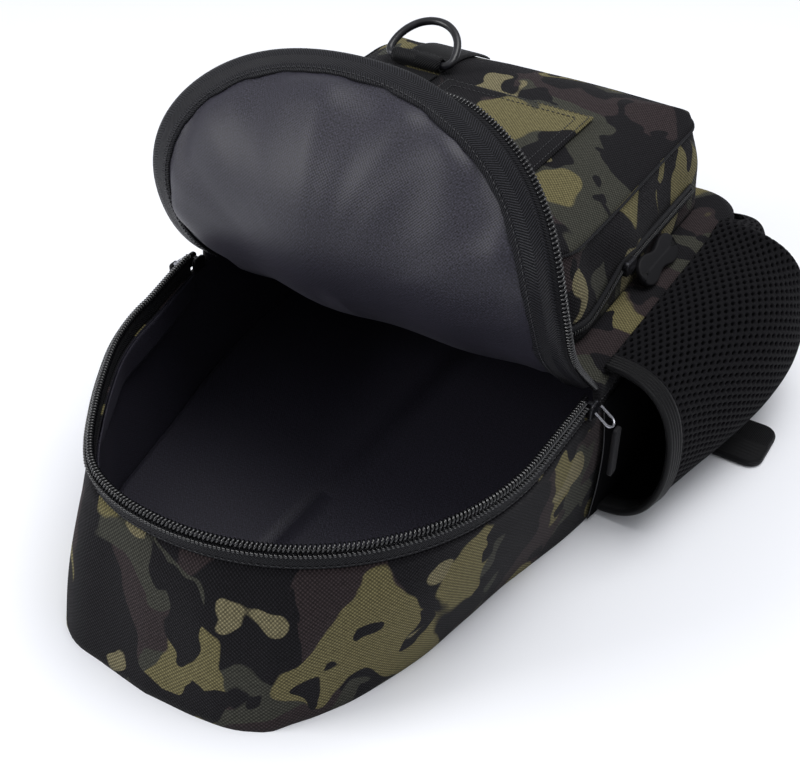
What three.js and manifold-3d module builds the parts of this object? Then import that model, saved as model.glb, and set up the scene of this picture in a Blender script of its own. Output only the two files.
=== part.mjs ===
// A fishing tackle sling bag lying on its back, with its lid flap thrown open.
// Millimetres. +Z is up, +Y runs from the bag's top end to its foot, +X is the bottle pocket's side.
// The origin is in the middle of the back, on the surface that the bag lies on.
import * as THREE from "three";
import { mergeVertices } from "three/addons/utils/BufferGeometryUtils.js";
import Module from "manifold-3d";

const wasm = await Module();
wasm.setup();

// Sizes of the body.
const seam = 0.3; // gap left between two pieces that are sewn or seated together
const bodyLength = 437;
const bodyWidth = 260; // across the back panel at the foot
const mouthWidth = 256; // across the zipped mouth
const mouthSetback = 23; // from the top end of the back to the start of the mouth
const mouthLength = 190; // from the start of the mouth to the fold of the lid
const panelThickness = 3; // padded cloth of the back, gusset, front and lid
const panelPlay = 0.8; // between the back panel's rim and the gusset
const gussetHeight = 85; // from the floor to the zip tape
const gussetBelly = 3;
const footSetback = 5;
const footRadius = 30;
const footArch = 5; // how far the foot's lower edge is lifted over the strap
const tapeHeight = 9;
const tapeThickness = 2;
const coilWidth = 4.5;
const coilThickness = 4;
const hemHeight = 16;
const hemThickness = 1.5;
const hemPlay = 1.6; // between the hem and the gusset
const frontRise = 13; // front panel, from its seam to its crown
const frontOverrun = 12; // spare length of the front panel, cut off at the lid's fold

// Sizes of the lid flap.
const lidBindingWidth = 13;
const lidBindingThickness = 4.4;
const lidGap = 0.8; // between the lid's panel, its binding and its zip, which bend together

// Sizes of the front pocket and what is sewn on it.
const pocketRightGap = 33; // from the front panel's edge to the pocket's right top seam
const pocketLeftGap = 8;
const pocketNear = 10; // from the lid's fold to the pocket's nearest top seam
const pocketFar = 19; // from the pocket's top seam to the foot of the bag
const pocketHeight = 52;
const pocketDome = 14;
const pocketShoulder = 45; // how far in from the seam the dome reaches its full height
const pocketFlare = 9; // how much further out the pocket's walls stand at the base
const pocketCorner = 24;
const pocketWall = 2.5;
const pipingRadius = 1.6;
const chainWidth = 7;
const chainThickness = 3;
const chainRise = 8; // from the front panel to the middle of the pocket's zip, at its low end
const chainClimb = 10; // rise of that zip along the pocket's right wall
const patchThickness = 1.4;
const patchWidth = 95;
const patchLength = 100;
const patchSide = 42; // from the pocket's right seam to the patch
const patchFoot = 68; // from the pocket's foot seam to the patch

// Sizes of the D-ring and its webbing.
const ringWire = 4.8;
const ringWidth = 39; // inside the ring, along its bar
const ringReach = 24; // inside the ring, from its bar to the crown of its bow
const ringCorner = 5;
const ringLean = 32; // degrees above the pocket, as the ring stands in its loop
const ringSide = 53; // from the pocket's left seam to the middle of the ring
const ringFoot = 61; // from the pocket's foot seam to the ring's bar
const ringPlay = 0.5;
const webbingThickness = 2;
const loopWidth = 34;
const loopStem = 14; // from the bar to the end of the folded webbing
const bandWidth = 25; // of the band across the pocket, on the lid's side of the ring
const bandMargin = 2; // between that band and the pocket's left seam

// Sizes of the bottle pocket.
const bottleStart = 11; // from the lid's fold to the pocket's mouth
const bottleLength = 212;
const bottleBulge = 59;
const meshThickness = 2.5;
const bottleBindingWidth = 12;
const bottleBindingThickness = 3.6;

// Sizes of the back pads and the sling strap.
const padThickness = 8;
const padMargin = 40; // from the widest edge of the back to a back pad
const padLength = 330;
const padStart = 62; // from the top end to the back pads
const padCorner = 22;
const channelPlay = 4; // between the strap and each back pad
const strapWidth = 56;
const strapThickness = 7;
const strapLength = 380;
const strapStart = 26; // from the top end to the padded strap
const strapTaper = 24;
const anchorLength = 14;
const beltWidth = 38;
const beltThickness = 2.4;
const beltLoopRadius = 45; // of the belt's turn behind the foot
const beltTwist = 46; // length over which the belt turns from flat to upright
const glideBar = 4; // thickness of the belt's plastic glide
const glideSlot = 9;
const glideMargin = 5;
const glideStem = 18; // of the belt's folded end, from the glide's bar
const footTabLength = 18; // from the foot to the glide's other bar
const tabWidth = 38;
const tabReach = 64; // how far the side tab reaches out from the gusset
const tabThickness = 4.6;
const tabPlace = 92; // from the lid's fold to the side tab
const tabCorner = 9;

// Sizes of the zip sliders and their pulls.
const sliderWidth = 9;
const sliderLength = 10;
const sliderClear = 5; // from the lid's fold to a slider
const pullWire = 1.6;
const pullWireReach = 12;
const pullLength = 30;
const pullWidth = 7;
const pullThickness = 2.6;
const gripLength = 46; // rubber grip of the front pocket's zip
const gripWidth = 17;
const gripThickness = 3.4;
const gripPlace = 80; // from the lid's fold to the front pocket's slider

// Places that follow from those sizes.
const topEnd = -bodyLength / 2;
const footEnd = bodyLength / 2;
const halfBody = bodyWidth / 2;
const halfMouth = mouthWidth / 2;
const mouthCentre = topEnd + mouthSetback + halfMouth; // centre of the mouth's round end
const fold = topEnd + mouthSetback + mouthLength; // line on which the lid folds
const mouthFar = footEnd - footSetback;
const pocketRight = halfMouth - pocketRightGap;
const pocketLeft = halfMouth - pocketLeftGap;
const rimBase = gussetHeight + seam;
const coilBase = rimBase + tapeHeight + seam;
const frontTop = rimBase + frontRise;
const pocketBase = frontTop + seam;
const bottleLift = seam + tabThickness + seam; // the bottle pocket's lower seam lies on the side tab

// Colour, roughness and metalness of each material.
const finishes = {
  camo: [0x3c3b2c, 0.9, 0],
  lining: [0x24252b, 0.6, 0],
  webbing: [0x141416, 0.85, 0],
  mesh: [0x19191b, 0.9, 0],
  nylon: [0x101012, 0.4, 0],
  steel: [0x1b1b1d, 0.35, 1],
  rubber: [0x17181c, 0.6, 0],
};

const bag = new THREE.Group();
const at = (x, y, z) => new THREE.Vector3(x, y, z);
const mix = THREE.MathUtils.lerp;
const radians = THREE.MathUtils.degToRad;
const steps = (count, from, to) => Array.from({ length: count + 1 }, (_, i) => mix(from, to, i / count));

// The value of a table's column at a key, on straight lines between its rows.
function column(rows, key, name, where) {
  let i = 0;
  while (i < rows.length - 2 && where > rows[i + 1][key]) i += 1;
  const share = (where - rows[i][key]) / (rows[i + 1][key] - rows[i][key]);
  return mix(rows[i][name], rows[i + 1][name], Math.min(Math.max(share, 0), 1));
}

// A closed body through rings with an even number of points. Its ends are closed, unless it meets itself.
function loft(rings, meets = false) {
  const around = rings[0].length;
  const points = rings.flat();
  const faces = [];
  const quad = (a, b, c, d) => faces.push([a, b, c], [a, c, d]);
  for (let i = 0; i < rings.length - (meets ? 0 : 1); i += 1) {
    const low = i * around;
    const high = ((i + 1) % rings.length) * around;
    for (let j = 0; j < around; j += 1) {
      const next = (j + 1) % around;
      quad(low + j, high + j, high + next, low + next);
    }
  }
  const last = (rings.length - 1) * around;
  for (let j = 0; j < around / 2 - 1 && !meets; j += 1) {
    const across = around - 1 - j;
    quad(j, j + 1, across - 1, across);
    quad(last + across, last + across - 1, last + j + 1, last + j);
  }
  const volume = faces.reduce((sum, [a, b, c]) => sum + points[a].dot(points[b].clone().cross(points[c])), 0);
  const geometry = new THREE.BufferGeometry().setFromPoints(points);
  geometry.setIndex(faces.flatMap(([a, b, c]) => (volume < 0 ? [a, c, b] : [a, b, c])));
  return geometry;
}

// A piece of cloth between a front and a back grid of points.
const sheet = (front, back) => loft(front.map((row, i) => [...row, ...[...back[i]].reverse()]));

// A flat outline of a given thickness, laid on the axes given for its width, its length and its depth.
function plate(shape, depth, origin, across, along, segments = 4) {
  const geometry = new THREE.ExtrudeGeometry(shape, { depth, bevelEnabled: false, curveSegments: segments });
  const basis = new THREE.Matrix4().makeBasis(across, along, across.clone().cross(along));
  return geometry.applyMatrix4(basis.setPosition(origin));
}

// A rectangle with round corners, centred, as a shape.
function roundedShape(width, length, radius) {
  const x = width / 2;
  const y = length / 2;
  const shape = new THREE.Shape();
  shape.moveTo(-x + radius, -y);
  shape.lineTo(x - radius, -y);
  shape.absarc(x - radius, -y + radius, radius, -Math.PI / 2, 0, false);
  shape.absarc(x - radius, y - radius, radius, 0, Math.PI / 2, false);
  shape.absarc(-x + radius, y - radius, radius, Math.PI / 2, Math.PI, false);
  shape.absarc(-x + radius, -y + radius, radius, Math.PI, Math.PI * 1.5, false);
  return shape;
}

// A closed geometry as a solid for cutting and joining, and a solid back as a geometry.
function solid(geometry) {
  const bare = geometry.clone();
  bare.deleteAttribute("normal");
  bare.deleteAttribute("uv");
  const merged = mergeVertices(bare, 1e-4);
  const vertProperties = new Float32Array(merged.attributes.position.array);
  const triVerts = new Uint32Array(merged.index.array);
  return new wasm.Manifold(new wasm.Mesh({ numProp: 3, vertProperties, triVerts }));
}

function geometryOf(body) {
  const mesh = body.getMesh();
  const geometry = new THREE.BufferGeometry();
  geometry.setAttribute("position", new THREE.BufferAttribute(new Float32Array(mesh.vertProperties), 3));
  geometry.setIndex(new THREE.BufferAttribute(new Uint32Array(mesh.triVerts), 1));
  return geometry;
}

function add(name, finish, geometry) {
  const [color, roughness, metalness] = finishes[finish];
  const mesh = new THREE.Mesh(geometry, new THREE.MeshStandardMaterial({ color, roughness, metalness }));
  mesh.name = name;
  bag.add(mesh);
}

// Outline of the back round the bag's top end. Across is a share of half the width, and along is a share
// of the way from the top end to the centre of the mouth's round end. Pull is how far the soft rim is
// drawn in on the left.
const topOutline = [
  { turn: 0, across: 0, along: 0, pull: 0 },
  { turn: 12, across: 0.235, along: 0.016, pull: 0 },
  { turn: 22, across: 0.43, along: 0.055, pull: 2 },
  { turn: 25, across: 0.49, along: 0.09, pull: 3.5 },
  { turn: 28, across: 0.53, along: 0.145, pull: 5.5 },
  { turn: 34, across: 0.595, along: 0.22, pull: 9.5 },
  { turn: 40, across: 0.655, along: 0.3, pull: 13 },
  { turn: 48, across: 0.712, along: 0.425, pull: 16 },
  { turn: 56, across: 0.762, along: 0.555, pull: 17.5 },
  { turn: 73, across: 0.815, along: 0.78, pull: 16 },
  { turn: 90, across: 0.865, along: 1, pull: 12.5 },
];

// Width of the back from there to the foot, and the same pull, against the share of that way.
const sideOutline = [
  { along: 0, across: 0.865, pull: 12.5 },
  { along: 0.155, across: 0.946, pull: 3 },
  { along: 0.29, across: 1, pull: 0 },
  { along: 1, across: 1, pull: 0 },
];

// Swell of the gusset between its lower and its upper edge.
const gussetSwell = [
  { rise: 0, swell: 0 },
  { rise: 0.35, swell: 0.9 },
  { rise: 0.7, swell: 1 },
  { rise: 1, swell: 0 },
];

// A station of the gusset: a point of the mouth's line, the way out from it, and the point of the back under it.
function topStation(turn) {
  const angle = radians(turn);
  const out = at(Math.sin(angle), -Math.cos(angle), 0);
  const mouth = at(0, mouthCentre, 0).addScaledVector(out, halfMouth);
  const across = halfBody * column(topOutline, "turn", "across", turn);
  const along = mix(topEnd, mouthCentre, column(topOutline, "turn", "along", turn));
  return { mouth, out, base: at(across, along, 0), lift: 0, pull: column(topOutline, "turn", "pull", turn) };
}

function sideStation(y) {
  const share = (y - mouthCentre) / (footEnd - mouthCentre);
  const base = at(halfBody * column(sideOutline, "along", "across", share), y, 0);
  const pull = column(sideOutline, "along", "pull", share);
  return { mouth: at(halfMouth, y, 0), out: at(1, 0, 0), base, lift: 0, pull };
}

function cornerStation(turn) {
  const angle = radians(turn);
  const out = at(Math.cos(angle), Math.sin(angle), 0);
  const mouth = at(halfMouth - footRadius, mouthFar - footRadius, 0).addScaledVector(out, footRadius);
  const base = at(halfBody - footRadius, footEnd - footRadius, 0).addScaledVector(out, footRadius);
  return { mouth, out, base, lift: 0, pull: 0 };
}

const mirrored = ({ mouth, out, base, lift, pull }) => {
  const flip = (v) => at(-v.x, v.y, v.z);
  return { mouth: flip(mouth.clone().addScaledVector(out, -pull)), out: flip(out), base: flip(base), lift };
};

// A point of the gusset's outer face, or one that lies inward of it.
function gussetPoint({ mouth, out, base, lift }, rise, inward) {
  const point = base.clone().lerp(mouth, rise);
  point.addScaledVector(out, gussetBelly * column(gussetSwell, "rise", "swell", rise) - inward);
  return point.setZ(mix(lift, gussetHeight, rise));
}

// The same section carried along stations: pairs of a distance out from the mouth's line, and a height.
const carried = (stations, section) =>
  stations.map(({ mouth, out }) => section.map(([away, z]) => mouth.clone().addScaledVector(out, away).setZ(z)));

const box = (inner, outer, low, high) => [[inner, low], [outer, low], [outer, high], [inner, high]];

const footCorner = mouthFar - footRadius;
const topHalf = topOutline.map(({ turn }) => topStation(turn));
const rightSide = [...steps(2, mouthCentre, fold).slice(1), ...steps(4, fold, footCorner).slice(1)].map(sideStation);
const footTurn = steps(4, 0, 90).slice(1).map(cornerStation);
const footMiddle = { mouth: at(0, mouthFar, 0), out: at(0, 1, 0), base: at(0, footEnd, 0), lift: footArch };
const rightHalf = [...topHalf, ...rightSide, ...footTurn];
const leftHalf = rightHalf.slice(1).map(mirrored).reverse();
const allRound = [...rightHalf, footMiddle, ...leftHalf];

// The gusset, one wall of camouflage cloth all round the bag.
add("gusset", "camo", loft(
  allRound.map((station) => [
    ...gussetSwell.map(({ rise }) => gussetPoint(station, rise, 0)),
    ...gussetSwell.map(({ rise }) => gussetPoint(station, rise, panelThickness)).reverse(),
  ]),
  true,
));

// The back panel, set inside the gusset, over the back pads.
const panelRing = (z) => allRound.map(({ mouth, out, base }) => {
  const point = base.clone().lerp(mouth, z / gussetHeight);
  return point.addScaledVector(out, -panelThickness - panelPlay).setZ(z);
});
const panelBase = padThickness + seam;
add("back_panel", "lining", loft([panelRing(panelBase), panelRing(panelBase + panelThickness)]));

// Zip tape, zip coil and the lining's hem, from one end of the lid's fold round the top to the other.
const rimEnd = fold - sliderClear - sliderLength - seam;
const rimRight = [...topHalf, ...steps(2, mouthCentre, rimEnd).slice(1).map(sideStation)];
const rim = [...rimRight.slice(1).map(mirrored).reverse(), ...rimRight];
const tapeMiddle = -panelThickness / 2;
add("rim_tape", "webbing", loft(carried(rim, box(
  tapeMiddle - tapeThickness / 2,
  tapeMiddle + tapeThickness / 2,
  rimBase,
  rimBase + tapeHeight,
))));
add("rim_coil", "nylon", loft(carried(rim, box(
  tapeMiddle - coilThickness / 2,
  tapeMiddle + coilThickness / 2,
  coilBase,
  coilBase + coilWidth,
))));
const hemFace = panelThickness + hemPlay;
add("lining_hem", "lining", loft(rim.map((station) => [
  gussetPoint(station, 1 - hemHeight / gussetHeight, hemFace + hemThickness),
  gussetPoint(station, 1 - hemHeight / gussetHeight, hemFace),
  gussetPoint(station, 1, hemFace),
  gussetPoint(station, 1, hemFace + hemThickness),
])));

// The front panel, a shallow cap over the foot half of the bag, open towards the lid's fold.
const frontShoulder = [
  { inset: 0, rise: 0 },
  { inset: 0.05, rise: 0.5 },
  { inset: 0.3, rise: 0.82 },
  { inset: 1, rise: 1 },
];
const frontRound = 10; // width of the rounded shoulder
const frontRight = [sideStation(fold - frontOverrun), ...rightSide.filter(({ mouth }) => mouth.y > fold), ...footTurn];
const frontStations = [...frontRight, ...frontRight.map(mirrored).reverse()];
const frontRing = (inset, z) => carried(frontStations, [[-inset, z]]).map(([point]) => point);
const frontOuter = frontShoulder.map(({ inset, rise }) => frontRing(inset * frontRound, rimBase + rise * frontRise));
const frontInner = frontShoulder.map(({ inset, rise }) => (
  frontRing(inset * frontRound + panelThickness, rimBase + rise * (frontRise - panelThickness))
));
const overrun = new THREE.BoxGeometry(mouthWidth * 2, frontOverrun * 2, gussetHeight * 4);
overrun.translate(0, fold - frontOverrun, 0);
add("front_panel", "camo", geometryOf(
  solid(loft([...frontOuter.reverse(), ...frontInner])).subtract(solid(overrun)),
));

// The lid flap. Each side of it climbs from the fold in directions of its own: 0 degrees is level towards
// the foot and 90 is straight up. The climb is a share of the lid's length.
const lidCurl = [
  { climb: 0, left: 135, right: 132 },
  { climb: 0.2, left: 113, right: 128 },
  { climb: 0.4, left: 84, right: 100 },
  { climb: 0.6, left: 41, right: 59 },
  { climb: 0.8, left: 15, right: 36 },
  { climb: 1, left: -11, right: 3 },
];
const lidBow = 15; // degrees by which the middle leans more to the bag's top end than the sides do
const lidStraight = fold - mouthCentre;
const lidRoot = at(0, fold - seam - panelThickness / 2, frontTop - panelThickness / 2);

function lidPoint(x, length) {
  const count = 24;
  const point = lidRoot.clone().setX(x);
  for (let i = 0; i < count; i += 1) {
    const climb = ((i + 0.5) / count) * (length / mouthLength);
    const side = x / mouthWidth + 0.5;
    const left = column(lidCurl, "climb", "left", climb);
    const right = column(lidCurl, "climb", "right", climb);
    const angle = radians(mix(left, right, side) + lidBow * (1 - (side * 2 - 1) ** 2));
    point.add(at(0, Math.cos(angle), Math.sin(angle)).multiplyScalar(length / count));
  }
  return point;
}

// A point off the lid's middle surface, to the lining's side where away is positive.
function lidOff(x, length, away) {
  const reach = 1;
  const across = lidPoint(x + reach, length).sub(lidPoint(x - reach, length));
  const along = lidPoint(x, length + reach).sub(lidPoint(x, Math.max(length - reach, 0)));
  return lidPoint(x, length).addScaledVector(across.cross(along).normalize(), -away);
}

// Places on the lid at a distance in from its edge, from the left end of the fold round to the right end.
function lidEdge(inset) {
  const radius = halfMouth - inset;
  const straight = steps(2, 0, lidStraight).slice(0, -1);
  const round = steps(16, 180, 0).map((turn) => {
    const angle = radians(turn);
    return [radius * Math.cos(angle), lidStraight + radius * Math.sin(angle)];
  });
  return [
    ...straight.map((length) => [-radius, length]),
    ...round,
    ...straight.map((length) => [radius, length]).reverse(),
  ];
}

function lidBand(inset, width, thickness) {
  const outer = lidEdge(inset);
  const inner = lidEdge(inset + width);
  return loft(outer.map((place, i) => [
    lidOff(...place, thickness / 2),
    lidOff(...place, -thickness / 2),
    lidOff(...inner[i], -thickness / 2),
    lidOff(...inner[i], thickness / 2),
  ]));
}

const lidBindingInset = coilWidth + lidGap;
const lidPanelInset = lidBindingInset + lidBindingWidth + lidGap;
const lidRadius = halfMouth - lidPanelInset;
const lidTip = 84; // degrees round the tip at which the panel's last row lies
const lidRows = [
  ...steps(2, 0, lidStraight).slice(0, -1).map((length) => [lidRadius, length]),
  ...steps(7, 0, lidTip).map((turn) => [
    lidRadius * Math.cos(radians(turn)),
    lidStraight + lidRadius * Math.sin(radians(turn)),
  ]),
];
const lidFace = (away) => lidRows.map(([half, length]) => steps(8, -half, half).map((x) => lidOff(x, length, away)));
add("lid_panel", "lining", sheet(lidFace(panelThickness / 2), lidFace(-panelThickness / 2)));
add("lid_binding", "webbing", lidBand(lidBindingInset, lidBindingWidth, lidBindingThickness));
add("lid_coil", "nylon", lidBand(0, coilWidth, coilThickness));

// The front pocket, a domed box of camouflage cloth, open only towards the front panel.
const pocketWalls = [
  { rise: 0, flare: 1 },
  { rise: 0.45, flare: 0.68 },
  { rise: 1, flare: 0 },
];
const pocketMiddle = at((pocketRight - pocketLeft) / 2, (fold + pocketNear + footEnd - pocketFar) / 2, 0);
const pocketHalfWidth = (pocketRight + pocketLeft) / 2;
const pocketHalfLength = (footEnd - pocketFar - fold - pocketNear) / 2;
const domeAt = (inset) => pocketDome * (1 - (1 - Math.min(inset / pocketShoulder, 1)) ** 2);
const flareAt = (rise) => pocketFlare * column(pocketWalls, "rise", "flare", rise / pocketHeight);

// Points round the pocket, moved out from its top seam, each with the way out. It starts at the right
// end of the side nearest the lid.
function pocketPlaces(outset) {
  const radius = Math.max(pocketCorner + outset, pocketCorner / 3);
  const x = pocketHalfWidth + outset - radius;
  const y = pocketHalfLength + outset - radius;
  const corners = [[x, -y, -90], [x, y, 0], [-x, y, 90], [-x, -y, 180]];
  return corners.flatMap(([cx, cy, start]) => steps(4, start, start + 90).map((turn) => {
    const out = at(Math.cos(radians(turn)), Math.sin(radians(turn)), 0);
    return { out, point: at(cx, cy, 0).add(pocketMiddle).addScaledVector(out, radius) };
  }));
}

const pocketRing = (outset, z) => pocketPlaces(outset).map(({ point }) => point.setZ(z));
function pocketSurface(inward) {
  const walls = pocketWalls.map(({ rise, flare }) => pocketRing(
    flare * pocketFlare - inward,
    mix(pocketBase, pocketBase + pocketHeight - inward, rise),
  ));
  const dome = [0.13, 0.31, 0.58, 1].map((share) => share * pocketShoulder).map((inset) => (
    pocketRing(-inset - inward, pocketBase + pocketHeight - inward + domeAt(inset))
  ));
  return [...walls, ...dome];
}
add("front_pocket", "camo", loft([...pocketSurface(0).reverse(), ...pocketSurface(pocketWall)]));

// Height of the pocket's top at a place.
function pocketTop(x, y) {
  const fromSide = pocketHalfWidth - Math.abs(x - pocketMiddle.x);
  const fromEnd = pocketHalfLength - Math.abs(y - pocketMiddle.y);
  return pocketBase + pocketHeight + domeAt(Math.max(Math.min(fromSide, fromEnd), 0));
}

// Piping in the pocket's top seam.
const pipingOut = pipingRadius + seam;
add("pocket_piping", "webbing", loft(pocketPlaces(pipingOut).map(({ point, out }) => (
  steps(5, 0, 300).map((turn) => point.clone()
    .addScaledVector(out, pipingRadius * Math.cos(radians(turn)))
    .setZ(pocketBase + pocketHeight + pipingRadius * Math.sin(radians(turn))))
)), true));

// The pocket's zip chain, along the wall nearest the lid and up along the right wall.
const chainPlaces = pocketPlaces(0);
const chainSpan = [...chainPlaces.slice(-1), ...chainPlaces.slice(0, 6)];
const chainStart = chainPlaces[4].point.y;
const chainEnd = chainPlaces[5].point.y;
const chainHeight = (y) => chainRise + chainClimb * Math.min(Math.max((y - chainStart) / (gripPlace / 2), 0), 1);
const chainStations = chainSpan.flatMap((place, i) => {
  if (i !== chainSpan.length - 1) return [place];
  return steps(6, chainStart, chainEnd).slice(1).map((y) => ({ out: place.out, point: place.point.clone().setY(y) }));
});
const chainFace = (rise) => flareAt(rise - chainWidth / 2) + seam;
add("pocket_chain", "nylon", loft(chainStations.map(({ point, out }) => {
  const rise = chainHeight(point.y);
  const face = chainFace(rise);
  return box(face, face + chainThickness, rise - chainWidth / 2, rise + chainWidth / 2).map(([away, z]) => (
    point.clone().addScaledVector(out, away).setZ(pocketBase + z)
  ));
})));

// The slider on that zip, and its rubber grip, which leans on the pocket's wall.
const gripSlider = fold + gripPlace;
const gripRise = chainRise + chainClimb;
const gripFace = pocketRight + chainFace(gripRise) + chainThickness + seam;
add("pocket_slider", "steel", plate(
  roundedShape(sliderWidth, sliderLength * 1.3, 2.5),
  coilThickness,
  at(gripFace, gripSlider, pocketBase + gripRise),
  at(0, 0, -1),
  at(0, 1, 0),
));
const gripShape = new THREE.Shape();
const gripHalf = gripWidth / 2;
gripShape.moveTo(-gripHalf * 0.45, 0);
gripShape.lineTo(gripHalf * 0.45, 0);
gripShape.quadraticCurveTo(gripHalf * 0.5, gripLength * 0.3, gripHalf, gripLength * 0.5);
gripShape.quadraticCurveTo(gripHalf * 0.7, gripLength * 0.75, gripHalf, gripLength);
gripShape.lineTo(-gripHalf, gripLength);
gripShape.quadraticCurveTo(-gripHalf * 0.7, gripLength * 0.75, -gripHalf, gripLength * 0.5);
gripShape.quadraticCurveTo(-gripHalf * 0.5, gripLength * 0.3, -gripHalf * 0.45, 0);
const gripTilt = radians(52);
const gripAcross = at(Math.cos(gripTilt), 0, -Math.sin(gripTilt));
const gripFoot = at(
  pocketRight + pocketFlare + gripHalf * Math.cos(gripTilt) + seam,
  gripSlider + sliderLength * 0.65 + seam,
  pocketBase + gripHalf * Math.sin(gripTilt),
);
add("pocket_grip", "rubber", plate(gripShape, gripThickness, gripFoot, gripAcross, at(0, 1, 0)));

// The patch pocket on the front pocket's top, open towards the lid.
const patchRight = pocketRight - patchSide;
const patchEnd = footEnd - pocketFar - patchFoot;
const patchFace = (away) => steps(5, patchEnd - patchLength, patchEnd).map((y) => (
  steps(5, patchRight - patchWidth, patchRight).map((x) => at(x, y, pocketTop(x, y) + seam + away))
));
add("patch_pocket", "camo", sheet(patchFace(patchThickness), patchFace(0)));

// Folded webbing round a bar along X: an outline with a hole for the bar, and a stem that reaches along Y.
function foldedWebbing(bar, width, stem, reach, thickness) {
  const inner = bar / 2 + ringPlay;
  const outer = inner + thickness;
  const shape = new THREE.Shape();
  const under = -outer;
  const over = under + stem;
  const start = Math.asin(over / outer);
  shape.moveTo(Math.cos(start) * outer, over);
  shape.absarc(0, 0, outer, start, Math.PI * 1.5, false);
  shape.lineTo(reach, under);
  shape.lineTo(reach, over);
  const hole = new THREE.Path();
  hole.absarc(0, 0, inner, 0, Math.PI * 2, true);
  shape.holes.push(hole);
  return { shape, width, outer };
}

// A fold of webbing put in place: towards is the way its stem points, along Y.
function foldAt({ shape, width }, origin, towards) {
  const start = origin.clone().add(at((-width / 2) * towards, 0, 0));
  const turned = plate(shape, width, start, at(0, towards, 0), at(0, 0, 1), 8);
  return turned;
}

// Webbing for the D-ring: the strip over the pocket's top, and its folded end.
const ringX = ringSide - pocketLeft;
const ringY = footEnd - pocketFar - ringFoot;
const ringFold = foldedWebbing(ringWire, loopWidth, webbingThickness * 2, loopStem, webbingThickness);
const ringTop = pocketTop(ringX + loopWidth / 2, ringY);
const ringZ = ringTop + seam + ringFold.outer;
const stripFace = (away) => steps(4, ringY + loopStem + seam, footEnd - pocketFar).map((y) => (
  steps(3, ringX - loopWidth / 2, ringX + loopWidth / 2).map((x) => at(x, y, pocketTop(x, y) + seam + away))
));
add("ring_strip", "webbing", sheet(stripFace(webbingThickness), stripFace(0)));
add("ring_fold", "webbing", foldAt(ringFold, at(ringX, ringY, ringZ), 1));
const bandEnd = ringY - ringFold.outer - seam;
const bandFace = (away) => steps(2, bandEnd - bandWidth, bandEnd).map((y) => (
  steps(8, bandMargin - pocketLeft, ringX + loopWidth / 2).map((x) => at(x, y, pocketTop(x, y) + seam + away))
));
add("ring_band", "webbing", sheet(bandFace(webbingThickness), bandFace(0)));

// The D-ring, a bent steel wire: a bar, two corners and a bow.
const ringHalf = (ringWidth + ringWire) / 2;
const ringBow = ringReach + ringWire - ringCorner;
const cornerX = ringHalf - ringCorner;
const ringLine = [
  ...steps(3, -cornerX, cornerX).slice(1, -1).map((x) => [x, 0]),
  ...steps(4, -90, 0).map((turn) => [
    cornerX + ringCorner * Math.cos(radians(turn)),
    ringCorner + ringCorner * Math.sin(radians(turn)),
  ]),
  ...steps(12, 0, 180).slice(1, -1).map((turn) => [
    ringHalf * Math.cos(radians(turn)),
    ringCorner + ringBow * Math.sin(radians(turn)),
  ]),
  ...steps(4, 180, 270).map((turn) => [
    -cornerX + ringCorner * Math.cos(radians(turn)),
    ringCorner + ringCorner * Math.sin(radians(turn)),
  ]),
];
const ringUp = at(0, Math.cos(radians(ringLean)), Math.sin(radians(ringLean)));
const ringNormal = at(1, 0, 0).cross(ringUp);
const ringPoint = ([x, v]) => at(ringX + x, ringY, ringZ).addScaledVector(ringUp, v);
add("d_ring", "steel", loft(ringLine.map((place, i) => {
  const before = ringPoint(ringLine[(i + ringLine.length - 1) % ringLine.length]);
  const after = ringPoint(ringLine[(i + 1) % ringLine.length]);
  const out = after.sub(before).normalize().cross(ringNormal);
  return steps(7, 0, 315).map((turn) => ringPoint(place)
    .addScaledVector(out, (ringWire / 2) * Math.cos(radians(turn)))
    .addScaledVector(ringNormal, (ringWire / 2) * Math.sin(radians(turn))));
}), true));

// The bottle pocket. Way is a share of its length, bulge a share of its full bulge, and drop a share of its
// height. Hold is 0 where its upper seam lies over the front panel's shoulder, and 1 where it lies outside.
const bottleSections = [
  { way: 0, bulge: 0.63, drop: 0, hold: 0 },
  { way: 0.15, bulge: 0.72, drop: 0, hold: 0 },
  { way: 0.32, bulge: 0.86, drop: 0, hold: 0 },
  { way: 0.5, bulge: 0.98, drop: 0, hold: 0 },
  { way: 0.66, bulge: 1, drop: 0, hold: 0 },
  { way: 0.8, bulge: 0.88, drop: 0, hold: 0 },
  { way: 0.9, bulge: 0.6, drop: 0.1, hold: 1 },
  { way: 1, bulge: 0.12, drop: 0.2, hold: 1 },
];

// A station at a distance from the lid's fold, along the right side and round the foot's corner.
function bottleStation(distance) {
  const straight = footCorner - fold;
  if (distance <= straight) return sideStation(fold + distance);
  return cornerStation(THREE.MathUtils.radToDeg((distance - straight) / footRadius));
}

// A section of the bottle pocket, from its upper to its lower seam, moved inward where asked.
function bottleCurve(distance, inward) {
  const station = bottleStation(distance);
  const way = (distance - bottleStart) / bottleLength;
  const bulge = bottleBulge * column(bottleSections, "way", "bulge", way);
  const height = frontTop + seam + meshThickness - bottleLift;
  const top = bottleLift + height * (1 - column(bottleSections, "way", "drop", way));
  const middle = (top + bottleLift) / 2;
  const half = (top - bottleLift) / 2;
  const outerRoot = gussetBelly + meshThickness + seam;
  const lowerRoot = seam * 4;
  const topRoot = mix(-panelThickness - seam, outerRoot, column(bottleSections, "way", "hold", way));
  return steps(8, 0, 180).map((turn) => {
    const angle = radians(turn);
    const share = turn / 180;
    const upperRoot = mix(topRoot, outerRoot, Math.min(share * 2, 1));
    const root = mix(upperRoot, lowerRoot, Math.max(share * 2 - 1, 0));
    const out = root + (bulge - root) * Math.sin(angle) ** 0.75 - inward * Math.sin(angle);
    const point = station.mouth.clone().lerp(station.base, share);
    return point.addScaledVector(station.out, out).setZ(middle + (half - inward) * Math.cos(angle));
  });
}

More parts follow.
